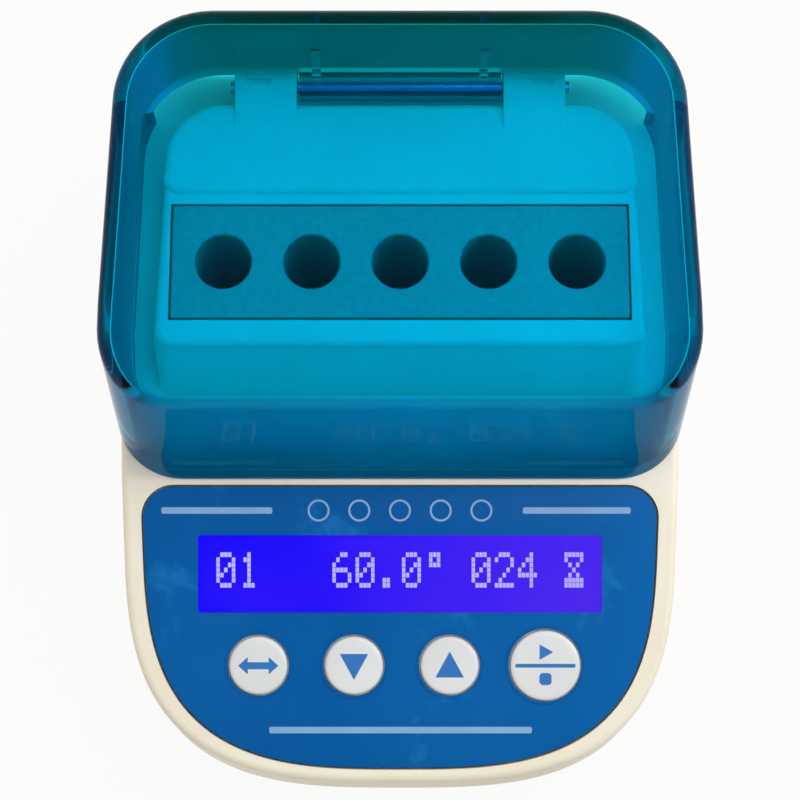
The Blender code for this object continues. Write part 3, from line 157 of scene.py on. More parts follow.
def addTurned(profile, spot=(0, 0, 0), steps=None, bm=None):
    # A profile of radius and height, turned about a line along Z through the spot.
    made = bmesh.new()
    verts = [made.verts.new((radius, 0, height)) for radius, height in profile]
    edges = [made.edges.new(pair) for pair in zip(verts, verts[1:])]
    bmesh.ops.spin(
        made, geom=verts + edges, cent=(0, 0, 0), axis=(0, 0, 1), dvec=(0, 0, 0), angle=2 * pi,
        steps=steps or detail["round"], use_merge=True,
    )
    bmesh.ops.remove_doubles(made, verts=made.verts, dist=0.0005)
    bmesh.ops.translate(made, vec=spot, verts=made.verts)
    faceOut(made)
    if bm is None:
        return made
    mesh = bpy.data.meshes.new("turned")
    made.to_mesh(mesh)
    made.free()
    bm.from_mesh(mesh)
    bpy.data.meshes.remove(mesh)
    return bm


def rod(radius, low, high):
    # The profile of a plain cylinder.
    return [(0, low), (radius, low), (radius, high), (0, high)]


def band(radius, line, low, high):
    # The profile of a flat ring with its own inner and outer wall.
    outer = radius + line
    return [(radius, low), (radius, high), (outer, high), (outer, low), (radius, low)]


def roundedProfile(points, radius):
    # Rounds each inner corner of a profile.
    steps = 4
    result = [points[0]]
    for before, corner, after in zip(points, points[1:], points[2:]):
        corner = Vector(corner)
        back = Vector(before) - corner
        ahead = Vector(after) - corner
        reach = min(radius, back.length * 0.45, ahead.length * 0.45)
        start = corner + back.normalized() * reach
        end = corner + ahead.normalized() * reach
        for step in range(steps + 1):
            t = step / steps
            spot = start * (1 - t) ** 2 + corner * 2 * t * (1 - t) + end * t * t
            result.append((spot.x, spot.y))
    result.append(points[-1])
    return result


def makeObject(name, bm, matrix=None):
    bmesh.ops.scale(bm, vec=(mm,) * 3, verts=bm.verts)
    if matrix is not None:
        bmesh.ops.transform(bm, matrix=matrix, verts=bm.verts)
    mesh = bpy.data.meshes.new(name)
    bm.to_mesh(mesh)
    bm.free()
    obj = bpy.data.objects.new(name, mesh)
    bpy.context.scene.collection.objects.link(obj)
    return obj


def settle(obj):
    # Keeps what the modifiers made as plain mesh.
    bpy.context.view_layer.update()
    graph = bpy.context.evaluated_depsgraph_get()
    mesh = bpy.data.meshes.new_from_object(obj.evaluated_get(graph))
    obj.modifiers.clear()
    obj.data = mesh


def combine(obj, *steps):
    # A step is cut or join, then the name, mesh and place of a tool, which goes once it is used.
    tools = []
    for operation, name, bm, *place in steps:
        tool = makeObject(name, bm, *place)
        modifier = obj.modifiers.new(name, "BOOLEAN")
        modifier.operation = operation
        modifier.solver = "EXACT"
        modifier.object = tool
        tools.append(tool)
    settle(obj)
    for tool in tools:
        bpy.data.objects.remove(tool, do_unlink=True)


def soften(obj, width=0.12):
    bevel = obj.modifiers.new("soft edges", "BEVEL")
    bevel.width = width * mm
    bevel.segments = 2
    bevel.limit_method = "ANGLE"
    bevel.angle_limit = radians(35)
    bevel.miter_outer = "MITER_ARC"
    settle(obj)


def dress(obj, ride, finish, replaces=(), smooth=30, even=False):
    if smooth:
        obj.data.shade_smooth()
        obj.data.set_sharp_from_angle(angle=radians(smooth))
    if even:
        # Large flat faces stay flat beside their rounded edges.
        normals = obj.modifiers.new("even shading", "WEIGHTED_NORMAL")
        normals.keep_sharp = True
        settle(obj)
    obj.data.materials.clear()
    obj.data.materials.append(finishes[finish])
    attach(obj, ride)
    if replaces:
        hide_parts(*replaces)


def planeAt(slope, lift):
    normal = Vector((0, -sin(slope), cos(slope)))
    return Vector((0, body["breakY"], body["breakZ"])) + normal * lift, normal


# Nodes, and the effects that more than one finish uses

def addNode(tree, kind, values=None, **settings):
    # values: the constants of its sockets, set once its settings are.
    node = tree.nodes.new("ShaderNode" + kind)
    for label, setting in settings.items():
        setattr(node, label, setting)
    for socket, value in (values or {}).items():
        node.inputs[socket].default_value = value
    return node


def wire(tree, *runs):
    # Each run goes from a node's output to another node's input.
    for start, output, end, socket in runs:
        tree.links.new(start.outputs[output], end.inputs[socket])


def newGroup(name, inputs, outputs):
    group = bpy.data.node_groups.new(name, "ShaderNodeTree")
    for way, labels in (("INPUT", inputs), ("OUTPUT", outputs)):
        for label in labels:
            socket = group.interface.new_socket(name=label, in_out=way, socket_type="NodeSocketFloat")
            if way == "INPUT":
                socket.default_value = inputs[label]
    return group, group.nodes.new("NodeGroupInput"), group.nodes.new("NodeGroupOutput")


def makeMouldGrain():
    # The fine texture of a moulded or blasted skin, with slow changes of tone.
    group, given, result = newGroup(
        "mouldGrain", {"Scale": 3200.0, "Depth": 0.5, "Tone Scale": 45.0}, ["Height", "Tone"]
    )
    place = addNode(group, "TexCoord")
    fine = addNode(group, "TexNoise", {"Detail": 3, "Roughness": 0.6})
    slow = addNode(group, "TexNoise", {"Detail": 4})
    depth = addNode(group, "Math", operation="MULTIPLY")
    wire(
        group,
        (place, "Object", fine, "Vector"), (place, "Object", slow, "Vector"),
        (given, "Scale", fine, "Scale"), (given, "Tone Scale", slow, "Scale"),
        (fine, "Fac", depth, 0), (given, "Depth", depth, 1),
        (depth, 0, result, "Height"), (slow, "Fac", result, "Tone"),
    )
    return group


def makeEdgeWear():
    # Where outer edges stand proud, rubbed and a little paler.
    group, given, result = newGroup("edgeWear", {"Low": 0.52, "High": 0.60}, ["Mask"])
    geometry = addNode(group, "NewGeometry")
    spread = addNode(group, "MapRange")
    wire(
        group,
        (geometry, "Pointiness", spread, "Value"), (given, "Low", spread, "From Min"),
        (given, "High", spread, "From Max"), (spread, "Result", result, "Mask"),
    )
    return group


def makeSmearsAndSheen():
    # A soft broken mask: finger marks and fine dust where it sets roughness, and patches of painted
    # reflection where it sets colour.
    group, given, result = newGroup("smearsAndSheen", {"Scale": 60.0, "Low": 0.5, "High": 0.75}, ["Mask"])
    place = addNode(group, "TexCoord")
    cloud = addNode(group, "TexNoise", {"Detail": 8, "Roughness": 0.65, "Distortion": 0.6})
    spread = addNode(group, "MapRange")
    wire(
        group,
        (place, "Object", cloud, "Vector"), (given, "Scale", cloud, "Scale"),
        (cloud, "Fac", spread, "Value"), (given, "Low", spread, "From Min"),
        (given, "High", spread, "From Max"), (spread, "Result", result, "Mask"),
    )
    return group


mouldGrain = makeMouldGrain()
edgeWear = makeEdgeWear()
smearsAndSheen = makeSmearsAndSheen()


def fromScreen(colour):
    # A screen colour of 0 to 255 as the linear colour that shows as it.
    shares = [value / 255 for value in colour]
    linear = [s / 12.92 if s <= 0.04045 else ((s + 0.055) / 1.055) ** 2.4 for s in shares]
    return (*linear, 1.0)


def newMaterial(name, sockets):
    # sockets: the constants of its shader.
    material = bpy.data.materials.new(name)
    material.use_nodes = True
    shader = material.node_tree.nodes["Principled BSDF"]
    for label, value in sockets.items():
        shader.inputs[label].default_value = value
    return material, material.node_tree, shader


def makeFinish(name, colour, roughness, tone, grain=None, wear=None, smear=None, sheenPatch=None, sockets=None):
    # Colours are as on a screen. tone: second colour, scale, amount.
    # grain: scale, depth, bump strength. wear, sheenPatch: colour, its group's values; sheenPatch lays pale
    # patches of painted reflection.
    # smear: roughness where it lies, its group's values.
    material, tree, shader = newMaterial(
        name, {"Base Color": fromScreen(colour), "Roughness": roughness, **(sockets or {})}
    )
    scale, depth, strength = grain or (3000.0, 0.0, 0.0)
    second, toneScale, amount = tone
    skin = addNode(
        tree, "Group", {"Scale": scale, "Depth": depth, "Tone Scale": toneScale}, node_tree=mouldGrain
    )
    if grain:
        bump = addNode(tree, "Bump", {"Strength": strength, "Distance": 0.0001})
        wire(tree, (skin, "Height", bump, "Height"), (bump, "Normal", shader, "Normal"))
    spread = addNode(tree, "MapRange", {"From Min": 0.35, "From Max": 0.65, "To Max": amount})
    wire(tree, (skin, "Tone", spread, "Value"))
    layers = [(second, spread, "Result")]
    for layer, group in ((wear, edgeWear), (sheenPatch, smearsAndSheen)):
        if layer:
            layers.append((layer[0], addNode(tree, "Group", layer[1], node_tree=group), "Mask"))
    below = None
    for over, mask, output in layers:
        mix = addNode(tree, "Mix", {"A": fromScreen(colour), "B": fromScreen(over)}, data_type="RGBA")
        wire(tree, (mask, output, mix, "Factor"))
        if below:
            wire(tree, (below, "Result", mix, "A"))
        below = mix
    wire(tree, (below, "Result", shader, "Base Color"))
    if smear:
        marks = addNode(tree, "Group", smear[1], node_tree=smearsAndSheen)
        spread = addNode(tree, "MapRange", {"To Min": roughness, "To Max": smear[0]})
        wire(tree, (marks, "Mask", spread, "Value"), (spread, "Result", shader, "Roughness"))
    return material


# Screen colour, roughness and tone, then what else there is.
looks = {
    "casePlastic": ((226, 221, 205), 0.42, ((216, 208, 188), 35.0, 0.55), {
        "grain": (2600.0, 0.6, 0.18), "smear": (0.55, {"Scale": 70.0, "Low": 0.5, "High": 0.8}),
    }),
    "panelFilm": ((0, 82, 150), 0.3, ((6, 92, 160), 22.0, 0.8), {
        "grain": (70.0, 1.0, 0.1), "smear": (0.4, {"Scale": 45.0, "Low": 0.45, "High": 0.75}),
        # Pale patches in the blue: a painted reflection of the creased protective film.
        "sheenPatch": ((18, 102, 168), {"Scale": 55.0, "Low": 0.58, "High": 0.66}),
        "sockets": {"Specular IOR Level": 0.05},
    }),
    "keyFilm": ((210, 213, 215), 0.34, ((194, 197, 199), 90.0, 0.5), {"grain": (1500.0, 0.5, 0.06)}),
    "glyphInk": ((0, 98, 170), 0.38, ((10, 112, 182), 300.0, 0.4), {}),
    "ruleInk": ((120, 160, 204), 0.34, ((106, 148, 196), 200.0, 0.6), {}),
    "blastedAluminium": ((170, 168, 158), 0.6, ((154, 153, 144), 900.0, 0.7), {
        "grain": (4200.0, 1.0, 0.75), "sockets": {"Metallic": 0.3},
    }),
    "pinSteel": ((190, 190, 193), 0.26, ((165, 165, 168), 260.0, 0.5), {
        "grain": (900.0, 0.5, 0.08), "sockets": {"Metallic": 1.0},
    }),
    "boardGreen": ((20, 92, 52), 0.38, ((12, 74, 42), 320.0, 0.8), {}),
    "blackPlastic": ((38, 38, 40), 0.38, ((48, 48, 51), 90.0, 0.6), {
        "grain": (3400.0, 0.7, 0.22), "wear": ((92, 92, 96), {"Low": 0.53, "High": 0.64}),
        "smear": (0.55, {"Scale": 80.0, "Low": 0.5, "High": 0.8}),
    }),
    "softRubber": ((50, 50, 52), 0.82, ((68, 67, 66), 120.0, 0.7), {"grain": (2400.0, 0.8, 0.4)}),
    "padSilicone": ((192, 92, 54), 0.6, ((168, 76, 44), 200.0, 0.6), {"grain": (1400.0, 1.0, 0.3)}),
    "jacketFoam": ((86, 86, 88), 0.95, ((66, 66, 69), 700.0, 0.8), {"grain": (1700.0, 1.0, 0.7)}),
    # A pale backing, so that the gap round the printed sheet shows as a light line: a painted highlight.
    "spacerFilmHighlight": ((196, 212, 220), 0.6, ((180, 200, 212), 120.0, 0.6), {}),
    "redWire": ((176, 34, 32), 0.36, ((150, 26, 26), 200.0, 0.6), {}),
    "markWhite": ((228, 228, 226), 0.5, ((206, 206, 204), 300.0, 0.5), {}),
}
finishes = {}
for lookName, (*basics, extras) in looks.items():
    finishes[lookName] = makeFinish(lookName, *basics, **extras)


def makeLitFinish(name, colour, second, scale):
    # A face that shines by itself, and goes slowly from one colour to a second from left to right.
    material, tree, shader = newMaterial(name, {
        "Base Color": (0.001, 0.001, 0.01, 1), "Roughness": 0.3, "Specular IOR Level": 0.02,
        "Emission Strength": 1.0,
    })
    skin = addNode(tree, "Group", {"Tone Scale": scale}, node_tree=mouldGrain)
    place = addNode(tree, "TexCoord")
    parts = addNode(tree, "SeparateXYZ")
    along = addNode(tree, "Math", {1: 12.0}, operation="MULTIPLY_ADD")
    spread = addNode(tree, "MapRange", {"From Min": 0.1, "From Max": 0.9})
    mix = addNode(tree, "Mix", {"A": fromScreen(colour), "B": fromScreen(second)}, data_type="RGBA")
    wire(
        tree,
        (place, "Object", parts, 0), (parts, "X", along, 0), (skin, "Tone", along, 2),
        (along, 0, spread, "Value"), (spread, "Result", mix, "Factor"),
        (mix, "Result", shader, "Emission Color"),
    )
    return material


# The face turns paler towards the right: a painted reflection on the pane.
finishes["displayGlow"] = makeLitFinish("displayGlow", (20, 0, 250), (72, 34, 234), 30.0)
finishes["dotGlow"] = makeLitFinish("dotGlow", (196, 188, 255), (180, 170, 255), 60.0)


def makeClearFinish(name, look):
    # Light gets in past it. Its colour comes from how squarely it is seen and how much
    # of it is crossed.
    material, tree, shader = newMaterial(name, {
        "Base Color": (1, 1, 1, 1), "Roughness": look["roughness"], "IOR": look["ior"],
        "Specular Tint": (*look["gloss"], 1), "Transmission Weight": 1.0,
    })
    path = addNode(tree, "LightPath")
    through = addNode(tree, "BsdfTransparent")
    mix = addNode(tree, "MixShader")
    output = tree.nodes["Material Output"]
    wire(
        tree,
        (path, "Is Shadow Ray", mix, "Fac"), (shader, "BSDF", mix, 1), (through, "BSDF", mix, 2),
        (mix, "Shader", output, "Surface"),
    )
    if "tints" in look:
        tintByAngle(tree, shader, through, look)
        crossed = {"Color": (*look["absorbed"], 1), "Density": look["density"]}
        wire(tree, (addNode(tree, "VolumeAbsorption", crossed), "Volume", output, "Volume"))
    return material


def tintByAngle(tree, shader, through, look):
    # tints: the surface tint from where it is faced to where it is seen edge on.
    facing = addNode(tree, "LayerWeight", {"Blend": 0.5})
    ramp = addNode(tree, "ValToRGB")
    stops = ramp.color_ramp.elements
    for index, (share, tint) in enumerate(look["tints"]):
        stop = stops[index] if index < 2 else stops.new(share)
        stop.position = share
        stop.color = (*tint, 1)
    # A level top stays clearer where it is seen edge on.
    place = addNode(tree, "TexCoord")
    normal = addNode(tree, "SeparateXYZ")
    level = addNode(tree, "Math", operation="ABSOLUTE")
    limit = addNode(tree, "MapRange", {
        "From Min": 0.9, "From Max": 0.99, "To Min": 1.0, "To Max": look["topLimit"],
    })
    seen = addNode(tree, "Math", operation="MINIMUM")
    # Painted shade: towards the rear, the tint of the surface and of the light let through is multiplied by
    # a darker, greener colour. It stands in for the shaded surroundings seen through the rear wall.
    spot = addNode(tree, "SeparateXYZ")
    spread = addNode(tree, "MapRange", {"From Min": look["rearShadeFrom"], "From Max": look["rearShadeTo"]})
    rearShade = addNode(
        tree, "Mix", {"B": (*look["rearShadeTint"], 1)}, data_type="RGBA", blend_type="MULTIPLY"
    )
    wire(
        tree,
        (place, "Normal", normal, 0), (normal, "Z", level, 0), (level, 0, limit, "Value"),
        (facing, "Facing", seen, 0), (limit, "Result", seen, 1), (seen, 0, ramp, "Fac"),
        (place, "Object", spot, 0), (spot, "Y", spread, "Value"), (spread, "Result", rearShade, "Factor"),
        (ramp, "Color", rearShade, "A"), (rearShade, "Result", shader, "Base Color"),
        (rearShade, "Result", through, "Color"),
    )


clearLooks = {
    "lidPlastic": {
        "ior": 1.12, "roughness": 0.03, "gloss": (0.1, 0.5, 0.8),
        "absorbed": (0.0, 0.95, 0.965), "density": 1000.0,
        "tints": [
            (0.0, (0.17, 0.73, 0.98)), (1.0, (0.08, 0.04, 0.20)), (0.25, (0.15, 0.70, 0.90)),
            (0.52, (0.02, 0.23, 0.42)), (0.88, (0.03, 0.14, 0.20)),
        ],
        # rearShadeTint, between rearShadeFrom and rearShadeTo along Y: painted shade on the rear wall.
        "topLimit": 0.35, "rearShadeTint": (1, 0.64, 0.34), "rearShadeFrom": 0.0530, "rearShadeTo": 0.0562,
    },
    "clearPane": {"ior": 1.06, "roughness": 0.04, "gloss": (1, 1, 1)},
}
for clearName, clearLook in clearLooks.items():
    finishes[clearName] = makeClearFinish(clearName, clearLook)
print("finishes made")


# Case halves with the deck and the hinge ears

deck = {
    "front": 8.6, "rear": 49.9, "halfWidth": 39.5, "taper": 1.2, "top": 47.6, "stepY": 33.95,
    "stepRise": 0.6, "rake": radians(38), "root": 4.0, "frontCorner": 3.0, "rearCorner": 9.5,
    "edge": 1.3,
}
hinge = {
    "y": 53.0, "z": 47.317, "pin": 1.0, "pinLength": 56.0, "bore": 1.1, "lidBore": 1.3, "endGap": 0.3,
    "earRadius": 2.6, "earInner": 16.9, "earWidth": 10.2, "earRoot": 43.4, "pocket": (4.0, 1.0, 0.6),
    "pocketX": 23.2, "knuckleHalf": 16.6, "knuckle": 2.5, "web": 2.0, "gussetX": 13.7,
    "gussetThickness": 1.4, "gussetFoot": 1.6, "gussetHeight": 8.5,
}
panel = {
    "border": 3.3, "frontBorder": 1.9, "rearGap": 1.4, "corner": 5.3, "pocket": 2.5, "sink": 0.2,
    "thickness": 0.5, "windowWidth": 65.4, "windowHeight": 12.4, "windowAlong": -15.9,
    "windowCorner": 0.6, "lcdMargin": 1.0, "keyAlong": -30.7,
}
# Across, radius and body of each key.
keys = {
    "key_menu": (-22.95, 4.7, "menu_key"),
    "key_down": (-7.45, 4.7, "down_key"),
    "key_up": (8.05, 4.7, "up_key"),
    "key_start": (23.55, 5.65, "start_key"),
}
block = {"width": 73.8, "depth": 19.1, "y": 22.6, "top": 47.8, "tall": 32.0, "gap": 0.3, "edge": 0.35,
         "wellRadius": 4.55, "wellDepth": 27.5, "wellPitch": 14.275, "chamfer": 0.4}
bay = {"width": 54.0, "height": 17.0, "depth": 2.8, "corner": 2.0, "z": 26.0, "socketX": -15.0,
       "switchX": 15.0, "socketHole": 5.5, "switchHole": (13.8, 8.9, 9)}
under = {
    "feet": [(-31, -38), (-36, 39.5), (31, -38), (36, 39.5)],
    "screws": [(-22, -50), (-37.5, 50.4), (22, -50), (37.5, 50.4)], "footRadius": 5.0, "footSeat": 5.3,
    "footSink": 0.6, "screwBore": [(0, 0), (3.0, 0), (3.0, 4.3), (1.7, 4.3), (1.7, 12), (0, 12)],
    "post": (3.5, 3, 7.7), "screwCore": 1.12, "screwThread": 1.4, "cross": (2.6, 0.62, 2.4),
    "ventCount": 5, "ventPitch": 9.5, "ventSize": (2.2, 11.0), "ventY": 44.5,
}
rearMatrix = Matrix((
    (-1, 0, 0, 0),
    (0, 0, 1, (body["rear"] - bay["depth"]) * mm),
    (0, 1, 0, bay["z"] * mm),
    (0, 0, 0, 1),
))
sideways = Matrix(((0, 0, 1, 0), (1, 0, 0, 0), (0, 1, 0, 0), (0, 0, 0, 1)))


def caseOutline(inset):
    half = body["halfWidth"] - inset
    points = nosePoints(half, body["noseDepth"] - inset, body["noseY"], body["taperY"])
    points.append((half, body["taperY"]))
    points += rearCorners(half, body["rear"] - inset, body["rearCorner"] - inset)
    return points + [(-half, body["taperY"])]


def drawIn(bm):
    # Below the seam the walls lean inward, toward the table.
    split(bm, (0, 0, body["seam"]), (0, 0, 1))
    for vert in bm.verts:
        share = max(body["seam"] - vert.co.z, 0) / (body["seam"] - body["bottom"])
        vert.co.x *= 1 - share * body["draft"] / body["halfWidth"]
        vert.co.y *= 1 - share * body["draft"] / body["rear"]


def caseBlank():
    bm = prism(caseOutline(0), body["bottom"], 80)
    sliceOff(bm, *planeAt(body["consoleSlope"], 0))
    sliceOff(bm, *planeAt(body["ledgeSlope"], 0))
    roundEdges(bm, body["edge"], detail["edge"])
    drawIn(bm)
    return bm


def caseCavity(floor):
    bm = prism(caseOutline(body["wall"]), floor, 80)
    sliceOff(bm, *planeAt(body["consoleSlope"], -panel["pocket"] - 1.0))
    sliceOff(bm, *planeAt(body["ledgeSlope"], -body["wall"]))
    drawIn(bm)
    return bm


def deckBlank(front=deck["front"], rake=deck["rake"], top=deck["top"], inset=0):
    low = body["breakZ"] - deck["root"]
    rearHalf = deck["halfWidth"] - deck["taper"] - inset
    half = rearHalf + deck["taper"] * (deck["rear"] - front) / (deck["rear"] - deck["front"])
    outline = roundedOutline(
        half, rearHalf, front - (top - low) * tan(rake) + inset / cos(rake),
        deck["rear"] - inset, deck["frontCorner"], deck["rearCorner"] - inset,
    )
    bm = prism(outline, low, top - inset)
    middle = (front + deck["rear"]) / 2
    for vert in bm.verts:
        if vert.co.z > (low + top) / 2 and vert.co.y < middle:
            vert.co.y += (top - inset - low) * tan(rake)
    if not inset:
        roundEdges(bm, deck["edge"], detail["edge"], lambda edge: min(v.co.z for v in edge.verts) > low)
    return bm


def earBlanks():
    foot = hinge["z"] - hinge["earRadius"]
    outline = arcPoints((hinge["y"], hinge["z"]), hinge["earRadius"], -pi / 2, pi, 24)
    outline += [(hinge["earRoot"], deck["top"] + deck["stepRise"] - 0.3), (hinge["earRoot"], foot)]
    bm = bmesh.new()
    for inner in (hinge["earInner"], -hinge["earInner"] - hinge["earWidth"]):
        prism(outline, inner, inner + hinge["earWidth"], bm)
    return roundEdges(bm, 0.3, 2)


def panelOutline(inset):
    slope = cos(body["consoleSlope"])
    half = body["halfWidth"] - panel["border"] - inset
    depth = (body["noseDepth"] - panel["frontBorder"]) / slope - inset
    points = nosePoints(half, depth, (body["noseY"] - body["breakY"]) / slope, 0)
    half -= body["taper"] * (panel["rearGap"] + panel["corner"])
    return points + rearCorners(half, -panel["rearGap"] - inset, panel["corner"] - inset)


def windowOutline(growth):
    return roundedRectangle(
        panel["windowWidth"] + 2 * growth, panel["windowHeight"] + 2 * growth, panel["windowCorner"],
        (0, panel["windowAlong"]),
    )


def caseHalf(name, side):
    # What lies above the seam where side is 1, and below it where side is -1.
    bm = caseBlank()
    sliceOff(bm, (0, 0, body["seam"] + side * body["seamGap"] / 2), (0, 0, -side))
    roundEdges(bm, 0.25, 2, lambda edge: all(abs(v.co.z - body["seam"]) < 0.5 for v in edge.verts))
    return makeObject(name, bm)


def buildCaseTop():
    case = caseHalf("caseTop", 1)
    gap = 2 * block["gap"]
    blockHole = addBox((block["width"] + gap, block["depth"] + gap, 30), (0, block["y"], deck["top"]))
    rearHoles = addTurned(rod(bay["socketHole"], -5, 2.2), (-bay["socketX"], 0, 0))
    addBox(bay["switchHole"], (-bay["switchX"], 0, 0), rearHoles)
    reach = hinge["pinLength"]
    bores = addTurned(rod(hinge["bore"], -reach, reach), (hinge["y"], hinge["z"], 0))
    pockets = bmesh.new()
    width, length, depth = hinge["pocket"]
    for side in (-1, 1):
        top = hinge["z"] + hinge["earRadius"]
        addBox((width, length, 2 * depth), (side * hinge["pocketX"], hinge["y"], top), pockets)
    inside = body["wall"]
    low = (-bay["width"] / 2 - inside, body["rear"] - bay["depth"] - inside, body["seam"] + 2)
    high = (bay["width"] / 2 + inside, body["rear"] - inside / 2, bay["z"] + bay["height"] / 2 + inside)
    recess = prism(roundedRectangle(bay["width"], bay["height"], bay["corner"]), 0, 6)
    combine(
        case,
        (join, "deckFront", deckBlank()),
        (join, "deckRear", deckBlank(deck["stepY"], 0, deck["top"] + deck["stepRise"])),
        (join, "ears", earBlanks(), sideways),
        (cut, "hollow", caseCavity(body["bottom"])),
        (cut, "deckHollow", deckBlank(inset=body["wall"])),
        (join, "bayWall", boxBetween(low, high)),
        (cut, "pocket", prism(panelOutline(0), -panel["pocket"], 3), onConsole),
        (cut, "opening", prism(windowOutline(panel["lcdMargin"]), -8, 0.5), onConsole),
        (cut, "blockHole", blockHole),
        (cut, "bay", recess, rearMatrix),
        (cut, "rearHoles", rearHoles, rearMatrix),
        (cut, "bores", bores, sideways),
        (cut, "pockets", pockets),
    )
    soften(case)
    dress(case, "case", "casePlastic", ["upper_case"], even=True)


def buildCaseBase():
    case = caseHalf("caseBase", -1)
    inside = body["bottom"] + body["wall"]
    tongue = prism(caseOutline(body["wall"] - body["tongueGap"]), inside, body["seam"] + body["tongueRise"])
    sinks = bmesh.new()
    posts = bmesh.new()
    for x, y in under["feet"]:
        addTurned(rod(under["footSeat"], 0, body["bottom"] + under["footSink"]), (x, y, 0), bm=sinks)
    for x, y in under["screws"]:
        addTurned(under["screwBore"], (x, y, 0), bm=sinks)
        addTurned(rod(*under["post"]), (x, y, 0), bm=posts)
    for index in range(under["ventCount"]):
        x = (index - (under["ventCount"] - 1) / 2) * under["ventPitch"]
        width, length = under["ventSize"]
        prism(roundedRectangle(width, length, width * 0.48, (x, under["ventY"])), 0, 8, sinks)
    combine(
        case,
        (join, "tongue", tongue),
        (cut, "hollow", caseCavity(inside)),
        (join, "posts", posts),
        (cut, "sinks", sinks),
    )
    soften(case)
    dress(case, "case", "casePlastic", ["lower_case"], even=True)


buildCaseTop()
buildCaseBase()
print("case halves made")


# Clear lid on its hinge

lid = {
    "halfWidth": 46.1, "taper": 1.2, "overhang": 0.6, "rear": 58.2, "top": 68.5, "wall": 2.2,
    "rake": radians(12.5), "frontCorner": 11.0, "rearCorner": 15.5, "edge": 3.4, "frontEdge": 7.0,
    "edgeBlend": 16.0, "rimGap": 0.3, "reliefY": 49.5, "reliefZ": 45.417,
}


def lidShell(low):
    # A dome without a floor. Its top edge is rounder along the front than round the sides and rear.
    half = lid["halfWidth"]
    front = body["breakY"] - lid["overhang"] - lid["wall"] * tan(lid["rake"])
    outline = roundedOutline(
        half, half - lid["taper"], front, lid["rear"], lid["frontCorner"], lid["rearCorner"]
    )
    sideSteps = 12
    filled = []
    for spot, after in zip(outline, outline[1:] + outline[:1]):
        parts = sideSteps if abs(after[1] - spot[1]) > lid["rearCorner"] else 1
        for step in range(parts):
            filled.append(Vector(spot).lerp(Vector(after), step / parts))
    bm = bmesh.new()
    rows = []
    bends = [0.0] + [pi / 2 * step / 12 for step in range(13)]
    for row, bend in enumerate(bends):
        ring = []
        for index, spot in enumerate(filled):
            across = filled[(index + 1) % len(filled)] - filled[index - 1]
            inward = Vector((-across.y, across.x)).normalized()
            blend = min(max((front + lid["edgeBlend"] - spot.y) / lid["edgeBlend"], 0), 1)
            radius = lid["edge"] + (lid["frontEdge"] - lid["edge"]) * blend ** 2 * (3 - 2 * blend)
            height = lid["top"] - radius * (1 - sin(bend)) if row else low
            moved = spot + inward * radius * (1 - cos(bend))
            lean = min(max((lid["rear"] - lid["rearCorner"] - spot.y) / 40, 0), 1)
            shift = (height - low) * tan(lid["rake"]) * lean
            ring.append(bm.verts.new((moved.x, moved.y + shift, height)))
        rows.append(ring)
    for lower, upper in zip(rows, rows[1:]):
        for index in range(len(lower)):
            after = (index + 1) % len(lower)
            bm.faces.new((lower[index], lower[after], upper[after], upper[index]))
    bm.faces.new(rows[-1])
    faceOut(bm)
    return bm


def buildLid():
    cover = makeObject("clearLid", lidShell(body["breakZ"] - lid["wall"]))
    shell = cover.modifiers.new("wall", "SOLIDIFY")
    shell.thickness = lid["wall"] * mm
    shell.use_even_offset = True
    trim = boxBetween((-90, -70, 0), (90, 120, 60))
    sliceOff(trim, *planeAt(body["ledgeSlope"], lid["rimGap"]))
    relief = boxBetween((-90, lid["reliefY"], 0), (90, 62, lid["reliefZ"]))
    place = (hinge["y"], hinge["z"], 0)
    reach = hinge["knuckleHalf"]
    halfWeb = hinge["web"] / 2
    wallMiddle = lid["rear"] - lid["wall"] / 2
    web = boxBetween((-reach, hinge["y"], hinge["z"] - halfWeb), (reach, wallMiddle, hinge["z"] + halfWeb))
    gussets = bmesh.new()
    foot = hinge["z"] + hinge["gussetFoot"]
    rise = hinge["z"] + hinge["gussetHeight"]
    outline = [
        (hinge["y"], foot), (wallMiddle, foot), (wallMiddle, rise), (lid["rear"] - lid["wall"] - 0.3, rise),
    ]
    for side in (-1, 1):
        x = side * hinge["gussetX"] - hinge["gussetThickness"] / 2
        prism(outline, x, x + hinge["gussetThickness"], gussets)
    far = reach + hinge["endGap"]
    combine(
        cover,
        (cut, "trim", trim),
        (cut, "relief", relief),
        (join, "knuckle", addTurned(rod(hinge["knuckle"], -reach, reach), place), sideways),
        (join, "web", web),
        (join, "gussets", gussets, sideways),
        (cut, "bore", addTurned(rod(hinge["lidBore"], -far, far), place), sideways),
    )
    soften(cover, 0.25)
    dress(cover, "lid", "lidPlastic", ["lid"], smooth=28, even=True)


def buildHingePin():
    half = hinge["pinLength"] / 2
    profile = roundedProfile(rod(hinge["pin"], -half, half), 0.35)
    bm = addTurned(profile, (hinge["y"], hinge["z"], 0), detail["small"])
    dress(makeObject("hingePin", bm, sideways), "case", "pinSteel", ["hinge_pin"])


buildLid()
buildHingePin()
print("lid and hinge made")


# Keypad: printed sheet, pane, keys and their marks

printed = {
    "rules": [(-38.7, -20.7, -5.6), (19.9, 37.4, -5.6), (-21.2, 21.4, -41.2)],
    "rise": 0.03, "ruleThickness": 1.05,
    "ringAlong": -5.6, "ringCount": 5, "ringPitch": 6.6, "ringRadius": 1.45, "ringLine": 0.34,
}
keyShape = {"height": 0.38, "flatShare": 0.84, "markRise": 0.025, "flange": 0.5, "bottom": -1.25,
            "shoulder": -0.95, "holeGap": 0.3, "beadGap": 0.42, "beadWidth": 0.38, "beadRise": 0.12}


def barOutline(left, right, along, thickness):
    return roundedRectangle(right - left, thickness, thickness * 0.3, ((left + right) / 2, along))


